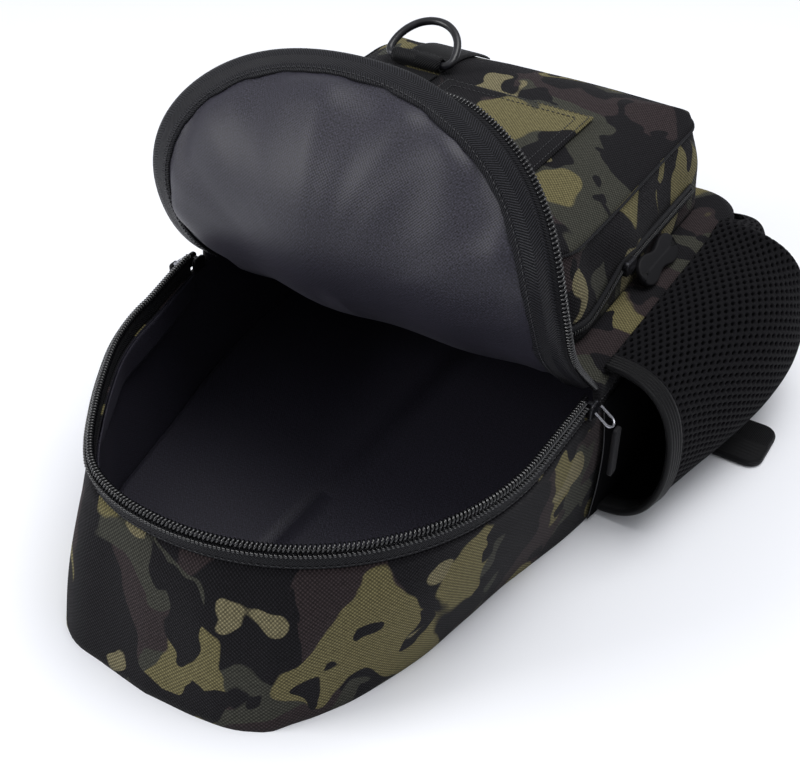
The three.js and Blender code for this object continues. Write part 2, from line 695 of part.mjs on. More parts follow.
const bottleSheet = (distances, thickness) => sheet(
  distances.map((distance) => bottleCurve(distance, 0)),
  distances.map((distance) => bottleCurve(distance, thickness)),
);
const bottleMeshStart = bottleStart + bottleBindingWidth + seam;
const bottleTurn = 0.8; // share of the pocket's length at which it starts to turn round the foot
const bottleWays = [...bottleSections.slice(1, -2).map(({ way }) => way), ...steps(4, bottleTurn, 1).slice(1)];
const bottleMeshRest = bottleWays.map((way) => bottleStart + way * bottleLength);
add("bottle_pocket", "mesh", bottleSheet([bottleMeshStart, ...bottleMeshRest], meshThickness));
add("bottle_binding", "webbing", bottleSheet(
  steps(2, bottleStart, bottleStart + bottleBindingWidth),
  bottleBindingThickness,
));

// Back pads on either side of the channel in which the padded strap lies.
const padInner = strapWidth / 2 + channelPlay;
const padWidth = halfBody - padMargin - padInner;
for (const [name, side] of [["left_back_pad", -1], ["right_back_pad", 1]]) {
  add(name, "mesh", plate(
    roundedShape(padWidth, padLength, padCorner),
    padThickness,
    at(side * (padInner + padWidth / 2), topEnd + padStart + padLength / 2, 0),
    at(1, 0, 0),
    at(0, 1, 0),
  ));
}

// The padded strap, its anchor at the top end, and the belt that comes out of its other end.
const strapTop = topEnd + strapStart;
const strapEnd = strapTop + strapLength;
const strapShape = new THREE.Shape();
strapShape.moveTo(-beltWidth / 2, -strapLength / 2);
strapShape.lineTo(beltWidth / 2, -strapLength / 2);
strapShape.lineTo(strapWidth / 2, -strapLength / 2 + strapTaper);
strapShape.lineTo(strapWidth / 2, strapLength / 2 - strapTaper);
strapShape.lineTo(beltWidth / 2, strapLength / 2);
strapShape.lineTo(-beltWidth / 2, strapLength / 2);
strapShape.lineTo(-strapWidth / 2, strapLength / 2 - strapTaper);
strapShape.lineTo(-strapWidth / 2, -strapLength / 2 + strapTaper);
const strapMiddle = at(0, strapTop + strapLength / 2, 0);
add("strap_pad", "mesh", plate(strapShape, strapThickness, strapMiddle, at(1, 0, 0), at(0, 1, 0)));
const anchorMiddle = at(0, strapTop - seam - anchorLength / 2, 0);
const anchorShape = roundedShape(beltWidth, anchorLength, 1);
add("strap_anchor", "webbing", plate(anchorShape, strapThickness, anchorMiddle, at(1, 0, 0), at(0, 1, 0)));

// The belt lies flat under the foot, turns upright, goes round behind the foot, and lies flat again.
const glideX = -beltLoopRadius * 2;
const glideStep = glideSlot + glideBar;
const glideNear = footEnd + seam * 2 + footTabLength;
const glideFar = glideNear + glideStep;
const turnY = glideFar + glideStem + seam + beltTwist;
const beltHeight = (roll) => seam + (beltWidth / 2) * Math.sin(roll) + (beltThickness / 2) * Math.cos(roll);
const rollAt = (y) => (Math.PI / 2) * Math.min(Math.max(1 - (turnY - y) / beltTwist, 0), 1);
const beltFrames = [
  ...[strapEnd + seam, footEnd, turnY - beltTwist].map((y) => ({ place: at(0, y, 0), out: at(1, 0, 0) })),
  ...steps(5, turnY - beltTwist, turnY).slice(1, -1).map((y) => ({ place: at(0, y, 0), out: at(1, 0, 0) })),
  ...steps(10, 0, 180).map((turn) => {
    const out = at(Math.cos(radians(turn)), Math.sin(radians(turn)), 0);
    return { place: at(-beltLoopRadius, turnY, 0).addScaledVector(out, beltLoopRadius), out };
  }),
  ...steps(5, turnY, turnY - beltTwist).slice(1).map((y) => (
    { place: at(-beltLoopRadius * 2, y, 0), out: at(-1, 0, 0) }
  )),
];
add("strap_belt", "webbing", loft(beltFrames.map(({ place, out }) => {
  const roll = rollAt(place.y);
  const across = out.clone().multiplyScalar(Math.cos(roll)).add(at(0, 0, Math.sin(roll)));
  const face = out.clone().multiplyScalar(-Math.sin(roll)).add(at(0, 0, Math.cos(roll)));
  const middle = place.clone().setZ(beltHeight(roll));
  return [[-1, -1], [1, -1], [1, 1], [-1, 1]].map(([a, b]) => middle.clone()
    .addScaledVector(across, (a * beltWidth) / 2)
    .addScaledVector(face, (b * beltThickness) / 2));
})));

// The belt's end is folded round one bar of a plastic glide, and a tab at the foot round the other.
const beltLoop = (stem) => foldedWebbing(glideBar * Math.SQRT2, beltWidth, beltThickness, stem, beltThickness);
const beltEnd = beltLoop(glideStem);
const glideZ = seam + beltEnd.outer;
add("belt_end", "webbing", foldAt(beltEnd, at(glideX, glideFar, glideZ), 1));
add("foot_tab", "webbing", foldAt(beltLoop(footTabLength), at(glideX, glideNear, glideZ), -1));
const glideShape = roundedShape(beltWidth + glideMargin * 2, glideSlot * 3 + glideBar * 4, glideMargin / 2);
for (const y of [-glideStep, 0, glideStep]) {
  const slot = roundedShape(beltWidth + seam * 4, glideSlot, 1).getPoints(2);
  glideShape.holes.push(new THREE.Path(slot.slice(1).map((p) => new THREE.Vector2(p.x, p.y + y)).reverse()));
}
const glideMiddle = at(glideX, (glideFar + glideNear) / 2, glideZ - glideBar / 2);
add("belt_glide", "nylon", plate(glideShape, glideBar, glideMiddle, at(1, 0, 0), at(0, 1, 0)));

// The side tab, doubled webbing sewn in the gusset's lower seam under the bottle pocket.
add("side_tab", "webbing", plate(
  roundedShape(tabReach, tabWidth, tabCorner),
  tabThickness,
  at(halfBody + seam * 2 + tabReach / 2, fold + tabPlace + tabWidth / 2, seam),
  at(1, 0, 0),
  at(0, 1, 0),
));

// The two sliders of the main zip, each with a wire and a thin moulded pull.
const sliderY = fold - sliderClear - sliderLength / 2;
for (const [name, side] of [["left", -1], ["right", 1]]) {
  const station = side < 0 ? mirrored(sideStation(sliderY)) : sideStation(sliderY);
  const face = station.mouth.x + side * tapeMiddle;
  add(`${name}_slider`, "steel", plate(
    roundedShape(sliderWidth, sliderLength, 2),
    tapeHeight,
    at(face, sliderY, rimBase),
    at(1, 0, 0),
    at(0, 1, 0),
  ));
  const wireRoot = at(face + side * (sliderWidth / 2 + seam), sliderY, rimBase + tapeHeight * 0.7);
  const wireOut = at(side * 0.8, 0, -0.6);
  const halfWire = (sliderLength - pullWire * 2) / 2;
  const wireLine = [
    [-halfWire, pullWire / 2],
    [-halfWire, pullWireReach - halfWire],
    ...steps(4, 180, 0).slice(1, -1).map((turn) => [
      halfWire * Math.cos(radians(turn)),
      pullWireReach - halfWire + halfWire * Math.sin(radians(turn)),
    ]),
    [halfWire, pullWireReach - halfWire],
    [halfWire, pullWire / 2],
  ];
  const wirePoint = ([y, v]) => wireRoot.clone().add(at(0, y, 0)).addScaledVector(wireOut, v);
  const wireNormal = at(0, 1, 0).cross(wireOut);
  add(`${name}_pull_wire`, "steel", loft(wireLine.map((place, i) => {
    const before = wirePoint(wireLine[Math.max(i - 1, 0)]);
    const after = wirePoint(wireLine[Math.min(i + 1, wireLine.length - 1)]);
    const out = after.sub(before).normalize().cross(wireNormal);
    return steps(5, 0, 300).map((turn) => wirePoint(place)
      .addScaledVector(out, (pullWire / 2) * Math.cos(radians(turn)))
      .addScaledVector(wireNormal, (pullWire / 2) * Math.sin(radians(turn))));
  })));
  const wireTip = wirePoint([0, pullWireReach + pullWire / 2 + seam]);
  add(`${name}_pull`, "rubber", plate(
    roundedShape(pullWidth, pullLength, 2),
    pullThickness,
    wireTip.add(at(0, 0, -pullLength / 2)),
    at(0, side, 0),
    at(0, 0, 1),
  ));
}

export default bag;
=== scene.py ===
import math

import bmesh
import bpy
import numpy as np
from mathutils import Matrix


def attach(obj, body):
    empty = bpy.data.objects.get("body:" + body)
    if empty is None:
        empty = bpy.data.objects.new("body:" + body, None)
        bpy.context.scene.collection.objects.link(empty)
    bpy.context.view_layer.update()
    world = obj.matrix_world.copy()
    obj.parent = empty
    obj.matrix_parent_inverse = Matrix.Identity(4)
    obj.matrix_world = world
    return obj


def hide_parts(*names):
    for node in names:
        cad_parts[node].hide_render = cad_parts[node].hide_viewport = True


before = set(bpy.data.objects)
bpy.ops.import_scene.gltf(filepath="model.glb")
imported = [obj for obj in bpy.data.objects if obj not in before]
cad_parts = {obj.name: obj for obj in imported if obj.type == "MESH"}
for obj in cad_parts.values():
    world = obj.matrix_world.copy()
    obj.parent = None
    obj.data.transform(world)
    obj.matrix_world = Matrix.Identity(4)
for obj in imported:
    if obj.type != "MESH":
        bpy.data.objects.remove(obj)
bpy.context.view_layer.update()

# Camera: over the bag's round end and a little to its right, looking down at the open mouth, with a
# short telephoto lens.
lens = bpy.data.cameras.new("camera")
lens.lens = 55.53
lens.sensor_width = 36
camera = bpy.data.objects.new("camera", lens)
camera.location = (0.298, -0.4662, 0.481)
camera.rotation_euler = (math.radians(51.3), 0, math.radians(32))
bpy.context.scene.collection.objects.link(camera)
bpy.context.scene.camera = camera
bpy.context.scene.view_settings.view_transform = "Standard"

# Floor: a sheet of white paper under the bag, matt, so that it takes a soft shadow and nothing else.
def linear(code):
    """A colour from its sRGB hex code, as linear light."""
    parts = [int(code[i:i + 2], 16) / 255 for i in (0, 2, 4)]
    return [c / 12.92 if c <= 0.04045 else ((c + 0.055) / 1.055) ** 2.4 for c in parts] + [1.0]


def put(tree, kind, inputs=None, **settings):
    """Adds a node with its settings, and gives each input a value or a link."""
    node = tree.nodes.new(kind)
    for name, value in settings.items():
        setattr(node, name, value)
    for name, value in (inputs or {}).items():
        if isinstance(value, bpy.types.NodeSocket):
            tree.links.new(value, node.inputs[name])
        else:
            node.inputs[name].default_value = value
    return node


def new_material(name):
    """An empty material with its Principled shader."""
    material = bpy.data.materials.new(name)
    material.use_nodes = True
    return material, material.node_tree, material.node_tree.nodes["Principled BSDF"]


paper, tree, shader = new_material("matt_paper")
shader.inputs["Base Color"].default_value = linear("f0f1f5")
shader.inputs["Roughness"].default_value = 0.95
shader.inputs["Specular IOR Level"].default_value = 0.1
bpy.ops.mesh.primitive_plane_add(size=14)
floor = bpy.context.object
floor.name = "floor"
floor.data.materials.append(paper)

# Light: a big softbox overhead, a smaller one low at the front left, and a white room round the table
# whose ceiling is brighter than its walls.
for name, place, aim, size, power in [
    ("softbox", (0.35, 0.3, 1.6), (0.0, 0.0, 0.05), 1.0, 17),
    ("side_box", (-1.05, -0.95, 0.8), (0.0, -0.05, 0.1), 0.6, 12),
]:
    lamp = bpy.data.lights.new(name, "AREA")
    lamp.energy = power
    lamp.size = size
    light = bpy.data.objects.new(name, lamp)
    light.location = place
    towards = np.subtract(aim, place)
    light.rotation_euler = (
        math.acos(-towards[2] / np.linalg.norm(towards)),
        0,
        math.atan2(towards[1], towards[0]) - math.pi / 2,
    )
    bpy.context.scene.collection.objects.link(light)
room = bpy.data.worlds.new("white_room")
room.use_nodes = True
ray = put(room.node_tree, "ShaderNodeTexCoord").outputs["Generated"]
height = put(room.node_tree, "ShaderNodeSeparateXYZ", {"Vector": ray}).outputs["Z"]
walls_to_ceiling = put(room.node_tree, "ShaderNodeMapRange", {
    "Value": height, "To Min": 0.3, "To Max": 0.8,
}).outputs["Result"]
backdrop = room.node_tree.nodes["Background"]
backdrop.inputs["Color"].default_value = linear("f4f6fa")
room.node_tree.links.new(walls_to_ceiling, backdrop.inputs["Strength"])
bpy.context.scene.world = room

# Gusset: the wall all round the bag, of thin foam between a printed polyester oxford cloth and a black
# lining. It is cut as one strip, sewn to the back panel below and to the zip's tape above, and it stands
# a little swollen, with soft creases at its tight corners.
seam = 0.3
body_length, body_width = 437, 260
mouth_width, mouth_setback, mouth_length = 256, 23, 190
gusset_height, gusset_belly, cloth = 85, 3, 3
foot_setback, foot_radius, foot_arch = 5, 30, 5
top_end, foot_end = -body_length / 2, body_length / 2
half_body, half_mouth = body_width / 2, mouth_width / 2
mouth_centre = top_end + mouth_setback + half_mouth
fold = top_end + mouth_setback + mouth_length
mouth_far = foot_end - foot_setback
foot_corner = mouth_far - foot_radius
top_turns = [0, 12, 22, 25, 28, 34, 40, 48, 56, 73, 90]
top_across = [0, 0.235, 0.43, 0.49, 0.53, 0.595, 0.655, 0.712, 0.762, 0.815, 0.865]
top_along = [0, 0.016, 0.055, 0.09, 0.145, 0.22, 0.3, 0.425, 0.555, 0.78, 1]
top_pull = [0, 0, 2, 3.5, 5.5, 9.5, 13, 16, 17.5, 16, 12.5]
side_along = [0, 0.155, 0.29, 1]
side_across = [0.865, 0.946, 1, 1]
side_pull = [12.5, 3, 0, 0]


def curve(keys, values, where):
    """A smooth line through a few values, read at any number of places."""
    keys, values = np.asarray(keys, float), np.asarray(values, float)
    where = np.clip(where, keys[0], keys[-1])
    slopes = np.gradient(values, keys)
    i = np.clip(np.searchsorted(keys, where) - 1, 0, len(keys) - 2)
    span = keys[i + 1] - keys[i]
    t = (where - keys[i]) / span
    start = values[i] * (1 + 2 * t) * (1 - t) ** 2 + slopes[i] * span * t * (1 - t) ** 2
    return start + values[i + 1] * t * t * (3 - 2 * t) + slopes[i + 1] * span * t * t * (t - 1)


def points(x, y, z):
    """Points from their coordinates, any of which may be one number for all."""
    return np.stack(np.broadcast_arrays(np.asarray(x, float), y, z), -1)


def station(mouth, out, base, lift=0.0, pull=0.0):
    """Places along the wall: the mouth's line, the way out from it, and the back under it."""
    count = len(mouth)
    return {
        "mouth": mouth, "out": out, "base": base,
        "lift": np.broadcast_to(np.asarray(lift, float), (count,)),
        "pull": np.broadcast_to(np.asarray(pull, float), (count,)),
    }


def top_station(turns):
    """Places round the top end, by degrees from its middle to the bag's right side."""
    angle = np.radians(turns)
    out = points(np.sin(angle), -np.cos(angle), 0)
    mouth = points(0, mouth_centre, 0) + out * half_mouth
    along = top_end + (mouth_centre - top_end) * curve(top_turns, top_along, turns)
    base = points(half_body * curve(top_turns, top_across, turns), along, 0)
    return station(mouth, out, base, pull=curve(top_turns, top_pull, turns))


def side_station(ys):
    """Places along the right side."""
    ys = np.asarray(ys, float)
    share = (ys - mouth_centre) / (foot_end - mouth_centre)
    base = points(half_body * curve(side_along, side_across, share), ys, 0)
    out = points(np.ones(len(ys)), 0, 0)
    return station(points(half_mouth, ys, 0), out, base, pull=curve(side_along, side_pull, share))


def corner_station(turns):
    """Places round the right foot corner, by degrees."""
    angle = np.radians(turns)
    out = points(np.cos(angle), np.sin(angle), 0)
    mouth = points(half_mouth - foot_radius, foot_corner, 0) + out * foot_radius
    base = points(half_body - foot_radius, foot_end - foot_radius, 0) + out * foot_radius
    return station(mouth, out, base)


def foot_station(shares):
    """Places along the foot, from its right corner to its middle."""
    shares = np.asarray(shares, float)
    out = points(np.zeros(len(shares)), 1, 0)
    mouth = points((half_mouth - foot_radius) * (1 - shares), mouth_far, 0)
    base = points((half_body - foot_radius) * (1 - shares), foot_end, 0)
    return station(mouth, out, base, lift=foot_arch * shares)


def join(*parts):
    """Runs of places, one after the other."""
    return {key: np.concatenate([part[key] for part in parts]) for key in parts[0]}


def left_of(right):
    """The same places on the bag's left, in reverse order. The soft rim is drawn in there."""
    flip = np.array([-1, 1, 1])
    mouth = right["mouth"] - right["out"] * right["pull"][:, None]
    turned = station(mouth * flip, right["out"] * flip, right["base"] * flip, right["lift"])
    return {key: value[::-1] for key, value in turned.items()}


def wall(places, rise, inward=0.0):
    """Points of the gusset's outer face, or inward of it, as a grid of places by shares of its height."""
    rise = np.asarray(rise, float)
    flat = places["base"][:, None] + (places["mouth"] - places["base"])[:, None] * rise[None, :, None]
    swell = gusset_belly * curve([0, 0.35, 0.7, 1], [0, 0.9, 1, 0], rise)
    flat = flat + places["out"][:, None] * (swell - inward)[None, :, None]
    flat[..., 2] = places["lift"][:, None] * (1 - rise) + gusset_height * rise
    return flat


def lengths(line):
    """How far along a line of points each point lies."""
    return np.concatenate([[0], np.cumsum(np.linalg.norm(np.diff(line, axis=0), axis=1))])


def ripple(a, b, seed):
    """Soft uneven waves between -1 and 1 over two lengths, the same in each run."""
    source = np.random.default_rng(seed)
    total = 0
    for _ in range(6):
        angle, size, phase = source.uniform(0, 2 * math.pi), source.uniform(0.6, 1.5), source.uniform(0, 6.28)
        total = total + np.sin((a * math.cos(angle) + b * math.sin(angle)) * size + phase)
    return total / 3.2


def mesh_piece(name, verts, faces, flats, materials, marks=None, weld=False):
    """A smooth mesh from points in millimetres, with the cloth's own lengths at each face corner as UVs."""
    mesh = bpy.data.meshes.new(name)
    mesh.from_pydata((np.asarray(verts) / 1000).tolist(), [], np.asarray(faces).tolist())
    layer = mesh.uv_layers.new(name="cloth")
    layer.data.foreach_set("uv", (np.asarray(flats, float) / 1000).ravel())
    for material in materials:
        mesh.materials.append(material)
    if marks is not None:
        mesh.polygons.foreach_set("material_index", np.asarray(marks, int))
    mesh.polygons.foreach_set("use_smooth", [True] * len(mesh.polygons))
    work = bmesh.new()
    work.from_mesh(mesh)
    if weld:
        bmesh.ops.remove_doubles(work, verts=work.verts, dist=2e-6)
    bmesh.ops.delete(work, geom=[v for v in work.verts if not v.link_faces], context="VERTS")
    bmesh.ops.recalc_face_normals(work, faces=work.faces)
    work.to_mesh(mesh)
    work.free()
    piece = bpy.data.objects.new(name, mesh)
    bpy.context.scene.collection.objects.link(piece)
    return piece


def quads(grid, axis=-1):
    """The corners of each cell of a grid, in order round it."""
    return np.stack([grid[:-1, :-1], grid[1:, :-1], grid[1:, 1:], grid[:-1, 1:]], axis)


def fabric(name, outer, inner, flat, materials, ring=False, weld=False):
    """A piece of cloth between an outer and an inner grid of points. Flat is where each lies on the cut
    cloth. A ring's grid has its first row again at its end, so its cloth lengths run on to there."""
    rows, cols = outer.shape[:2]
    low = rows * cols
    index = np.arange(low).reshape(rows, cols)
    if ring:
        index[-1] = index[0]
    front, corners = quads(index).reshape(-1, 4), quads(flat, -2).reshape(-1, 4, 2)
    faces, flats = [front, front[:, ::-1] + low], [corners, corners[:, ::-1]]
    marks = [0] * len(front) + [1] * len(front)
    edges = [(index[:, 0], flat[:, 0]), (index[:, -1], flat[:, -1])]
    if not ring:
        edges += [(index[0], flat[0]), (index[-1], flat[-1])]
    for line, place in edges:
        faces.append(np.stack([line[:-1], line[1:], line[1:] + low, line[:-1] + low], -1))
        flats.append(np.stack([place[:-1], place[1:], place[1:], place[:-1]], -2))
        marks += [0] * (len(line) - 1)
    verts = np.concatenate([outer.reshape(-1, 3), inner.reshape(-1, 3)])
    return mesh_piece(name, verts, np.concatenate(faces), np.concatenate(flats), materials, marks, weld)


def cloth_place(tree):
    """The place on the cut cloth, in metres."""
    return put(tree, "ShaderNodeUVMap", uv_map="cloth").outputs["UV"]


def crossing(tree, place, spacing, turn=0.0):
    """A plain weave of threads at a spacing in metres: 1 on a thread's crown and 0 in the gaps."""
    turned = put(tree, "ShaderNodeMapping", {"Vector": place, "Rotation": (0, 0, turn)}).outputs["Vector"]
    split = put(tree, "ShaderNodeSeparateXYZ", {"Vector": turned})
    waves = []
    for axis in ("X", "Y"):
        angle = put(tree, "ShaderNodeMath", {
            0: split.outputs[axis], 1: math.pi / spacing,
        }, operation="MULTIPLY")
        waves.append(put(tree, "ShaderNodeMath", {0: angle.outputs[0]}, operation="SINE").outputs[0])
    both = put(tree, "ShaderNodeMath", {0: waves[0], 1: waves[1]}, operation="MULTIPLY").outputs[0]
    return put(tree, "ShaderNodeMapRange", {
        "Value": both, "From Min": -1.0, "From Max": 1.0,
    }).outputs["Result"]


def blotches(tree, place, size, seed, stretch, limit):
    """A mask of printed patches of about a size in metres, with crisp edges."""
    scale = (1 / size, stretch / size, 1)
    moved = put(tree, "ShaderNodeMapping", {"Vector": place, "Location": (0, 0, seed), "Scale": scale})
    noise = put(tree, "ShaderNodeTexNoise", {
        "Vector": moved.outputs["Vector"], "Scale": 1.0, "Detail": 1.2, "Roughness": 0.4,
    })
    edge = {"Value": noise.outputs["Fac"], "From Min": limit, "From Max": limit + 0.008}
    return put(tree, "ShaderNodeMapRange", edge).outputs["Result"]


# Polyester oxford cloth, 600 denier, printed in a common camouflage of five dull colours: dry and matt,
# with a plain weave whose colour is painted lighter on the threads' crowns and darker in their gaps, as
# painted highlights and shade, with uneven slubs. The real threads lie 0.5 mm apart and are drawn at
# 1.05 mm, so that they show.
camo, tree, shader = new_material("printed_oxford")
place = cloth_place(tree)
wander = put(tree, "ShaderNodeTexNoise", {"Vector": place, "Scale": 26.0, "Detail": 2.0})
centred = put(tree, "ShaderNodeVectorMath", {
    0: wander.outputs["Color"], 1: (0.5, 0.5, 0.5),
}, operation="SUBTRACT")
bent = put(tree, "ShaderNodeVectorMath", {
    0: centred.outputs[0], 1: (0.028, 0.028, 0.028), 2: place,
}, operation="MULTIPLY_ADD").outputs[0]
colour = linear("121114")
for code, size, seed, stretch, limit in [
    ("2b2425", 0.052, 3.1, 0.8, 0.545),
    ("34342e", 0.046, 8.4, 1.3, 0.555),
    ("5f593d", 0.056, 14.2, 0.75, 0.565),
    ("121114", 0.020, 21.7, 0.7, 0.60),
    ("67614a", 0.036, 33.5, 0.9, 0.68),
]:
    mask = blotches(tree, bent, size, seed, stretch, limit)
    colour = put(tree, "ShaderNodeMix", {0: mask, 6: colour, 7: linear(code)}, data_type="RGBA").outputs[2]
threads = crossing(tree, place, 0.00105)
dots = put(tree, "ShaderNodeMath", {0: threads, 1: 2.2}, operation="POWER").outputs[0]
slub = put(tree, "ShaderNodeTexNoise", {"Vector": place, "Scale": 420.0, "Detail": 1.0}).outputs["Fac"]
# Painted highlight and shade: the print is lightened on the threads' crowns and darkened in the gaps.
painted_thread_light = put(tree, "ShaderNodeMapRange", {"Value": dots, "To Min": 0.55, "To Max": 2.3}).outputs["Result"]
painted_thread_light = put(tree, "ShaderNodeMath", {0: slub, 1: 0.6, 2: painted_thread_light}, operation="MULTIPLY_ADD").outputs[0]
painted_thread_light = put(tree, "ShaderNodeMath", {0: painted_thread_light, 1: 0.3}, operation="SUBTRACT").outputs[0]
shaded = put(tree, "ShaderNodeVectorMath", {0: colour, "Scale": painted_thread_light}, operation="SCALE").outputs[0]
tree.links.new(shaded, shader.inputs["Base Color"])
shader.inputs["Roughness"].default_value = 0.85
shader.inputs["Specular IOR Level"].default_value = 0.1
shader.inputs["Sheen Weight"].default_value = 0.03
shader.inputs["Sheen Roughness"].default_value = 0.5
raised = put(tree, "ShaderNodeBump", {"Height": dots, "Strength": 0.8, "Distance": 0.0005})
tree.links.new(raised.outputs["Normal"], shader.inputs["Normal"])

# Black lining of coated nylon taffeta: a fine weave under a thin coat, with a soft violet-grey sheen.
# Its colour is painted lighter on the threads' crowns and in a fine speckle, as the weave's painted
# sparkle. Its threads are drawn at 0.8 mm where they really lie 0.15 mm apart.
taffeta, tree, shader = new_material("coated_taffeta")
place = cloth_place(tree)
threads = crossing(tree, place, 0.0008)
sparkle_speckle = put(tree, "ShaderNodeTexNoise", {"Vector": place, "Scale": 1100.0, "Detail": 2.0}).outputs["Fac"]
softened = put(tree, "ShaderNodeMapRange", {"Value": threads, "To Min": 0.45}).outputs["Result"]
painted_sparkle = put(tree, "ShaderNodeMapRange", {"Value": sparkle_speckle, "From Min": 0.28, "From Max": 0.72})
# Painted sparkle: the colour is lightened on the threads' crowns and in a fine speckle.
speckled = put(tree, "ShaderNodeMath", {
    0: painted_sparkle.outputs["Result"], 1: softened,
}, operation="MULTIPLY").outputs[0]
grey = put(tree, "ShaderNodeMix", {
    0: speckled, 6: linear("09080d"), 7: linear("3d3b49"),
}, data_type="RGBA").outputs[2]
tree.links.new(grey, shader.inputs["Base Color"])
gloss = put(tree, "ShaderNodeMapRange", {"Value": sparkle_speckle, "To Min": 0.42, "To Max": 0.6}).outputs["Result"]
tree.links.new(gloss, shader.inputs["Roughness"])
shader.inputs["Specular IOR Level"].default_value = 0.4
shader.inputs["Sheen Weight"].default_value = 0.08
shader.inputs["Sheen Roughness"].default_value = 0.4
shader.inputs["Sheen Tint"].default_value = linear("8a8898")
raised = put(tree, "ShaderNodeBump", {"Height": softened, "Strength": 0.7, "Distance": 0.0002})
tree.links.new(raised.outputs["Normal"], shader.inputs["Normal"])


def flat_grid(along, across):
    """Places on the cut cloth of a grid, from its lengths along its rows and its columns."""
    return np.stack(np.meshgrid(along, across, indexing="ij"), -1)


def dress(piece, slot, *nodes, body="bag"):
    """The piece rides on its body, and the CAD nodes that it stands for are hidden. The slot is not used."""
    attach(piece, body)
    if nodes:
        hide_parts(*nodes)
    return piece


right_half = join(
    top_station(np.arange(0, 90, 1.5)),
    side_station(np.linspace(mouth_centre, foot_corner, 64)[:-1]),
    corner_station(np.linspace(0, 90, 13)),
    foot_station(np.linspace(0, 1, 20)[1:-1]),
)
right_rest = {key: value[1:] for key, value in right_half.items()}
all_round = join(foot_station([1.0]), left_of(right_half), right_rest, foot_station([1.0]))
front_row = len(right_half["mouth"])
rises = np.linspace(0, 1, 24)
outer = wall(all_round, rises)
inner = wall(all_round, rises, cloth)
run = lengths(outer[:, 12])
flat = flat_grid(run, rises * gusset_height)
# Creases stand upright where the wall turns tightly on both sides of the top end, and fade towards the
# seams.
row_number = np.arange(len(run))
bends = [run[front_row + 16], run[front_row - 16]]
tight = sum(np.exp(-(((run - bend) / 60) ** 2)) for bend in bends)
fade = np.sin(np.pi * (0.07 + 0.93 * rises)) ** 0.7
closing = np.clip(np.minimum(row_number, row_number[::-1]) / 10, 0, 1)
crease = (
    ripple(run / 9, run / 23, 4)[:, None] * (0.3 + 0.9 * tight)[:, None]
    + 0.9 * ripple(flat[..., 0] / 24, flat[..., 1] / 20, 6)
    + 0.5 * ripple(flat[..., 0] / 11 + flat[..., 1] / 14, flat[..., 1] / 30, 8)
)
shift = all_round["out"][:, None] * (1.5 * crease * fade * closing[:, None])[..., None]
outer, inner = outer + shift, inner + shift
outer[..., 2] = np.maximum(outer[..., 2], 0.2)
# Each piece of the printed cloth is cut from a place of its own on the roll.
gusset = fabric("gusset_cloth", outer, inner, flat + [20, 300], [camo, taffeta], ring=True)
dress(gusset, "camo", "gusset")

# Back panel: the padded floor of the bag, lined in the same black taffeta, sewn to the gusset all round.
# It is slightly pillowed between its seams.
panel_base, panel_thickness, panel_spine = 8.3, 3.0, (-120, 130)


def panel_ring(height):
    """The panel's edge just inside the gusset, at a height."""
    share = height / gusset_height
    ring_line = all_round["base"] + (all_round["mouth"] - all_round["base"]) * share
    ring_line = ring_line - all_round["out"] * (cloth + 0.6)
    ring_line[:, 2] = height
    return ring_line


def towards_middle(line, shares, spine):
    """Rows from a closed line in to a spine along Y, which keeps clear of the line's ends."""
    target = points(0, np.clip(line[:, 1], *spine), 0)
    target[:, 2] = line[:, 2]
    return line[:, None] + (target - line)[:, None] * np.asarray(shares)[None, :, None]


shares = np.array([0, 0.03, 0.08, 0.16, 0.28, 0.42, 0.58, 0.75, 0.9, 1])
lower = towards_middle(panel_ring(panel_base), shares, panel_spine)
upper = towards_middle(panel_ring(panel_base + panel_thickness), shares, panel_spine)
pillow = np.sin(np.pi * np.clip(shares, 0, 0.5))
upper[..., 2] += 0.5 * ripple(upper[..., 0] / 35, upper[..., 1] / 35, 9) * pillow
back = fabric("back_lining", upper, lower, upper[..., :2], [taffeta, taffeta], ring=True, weld=True)
dress(back, "lining", "back_panel")

# Zip's tape and coil along the body's mouth: a herringbone tape of polyester, sewn to the gusset's upper
# edge, and a size 8 nylon coil bent from one round wire, which is sewn on along the tape with a lockstitch.
rim_base, tape_height, coil_width, coil_pitch = gusset_height + seam, 9, 4.5, 2.1
slider_clear, slider_length, slider_width = 5, 10, 9
rim_end = fold - slider_clear - slider_length - seam


def drawn_closer(places):
    """The left side's places with the rim drawn in, and the right side's as they are."""
    return join(left_of(places), {key: value[1:] for key, value in places.items()})


def carried(places, section):
    """A section carried along places: pairs of a distance out from the mouth's line, and a height."""
    away = np.array([pair[0] for pair in section], float)
    grid = places["mouth"][:, None] + places["out"][:, None] * away[None, :, None]
    grid[..., 2] = np.array([pair[1] for pair in section], float)
    return grid


def twill(tree, place, spacing, band):
    """Herringbone: ribs at a spacing that lean one way and then the other in bands of a width."""
    split = put(tree, "ShaderNodeSeparateXYZ", {"Vector": place})
    leaning = put(tree, "ShaderNodeMath", {0: split.outputs["Y"], 1: band}, operation="PINGPONG").outputs[0]
    along = put(tree, "ShaderNodeMath", {0: split.outputs["X"], 1: leaning}, operation="ADD").outputs[0]
    angle = put(tree, "ShaderNodeMath", {0: along, 1: 2 * math.pi / spacing}, operation="MULTIPLY").outputs[0]
    wave = put(tree, "ShaderNodeMath", {0: angle}, operation="SINE").outputs[0]
    return put(tree, "ShaderNodeMapRange", {
        "Value": wave, "From Min": -1.0, "From Max": 1.0,
    }).outputs["Result"]


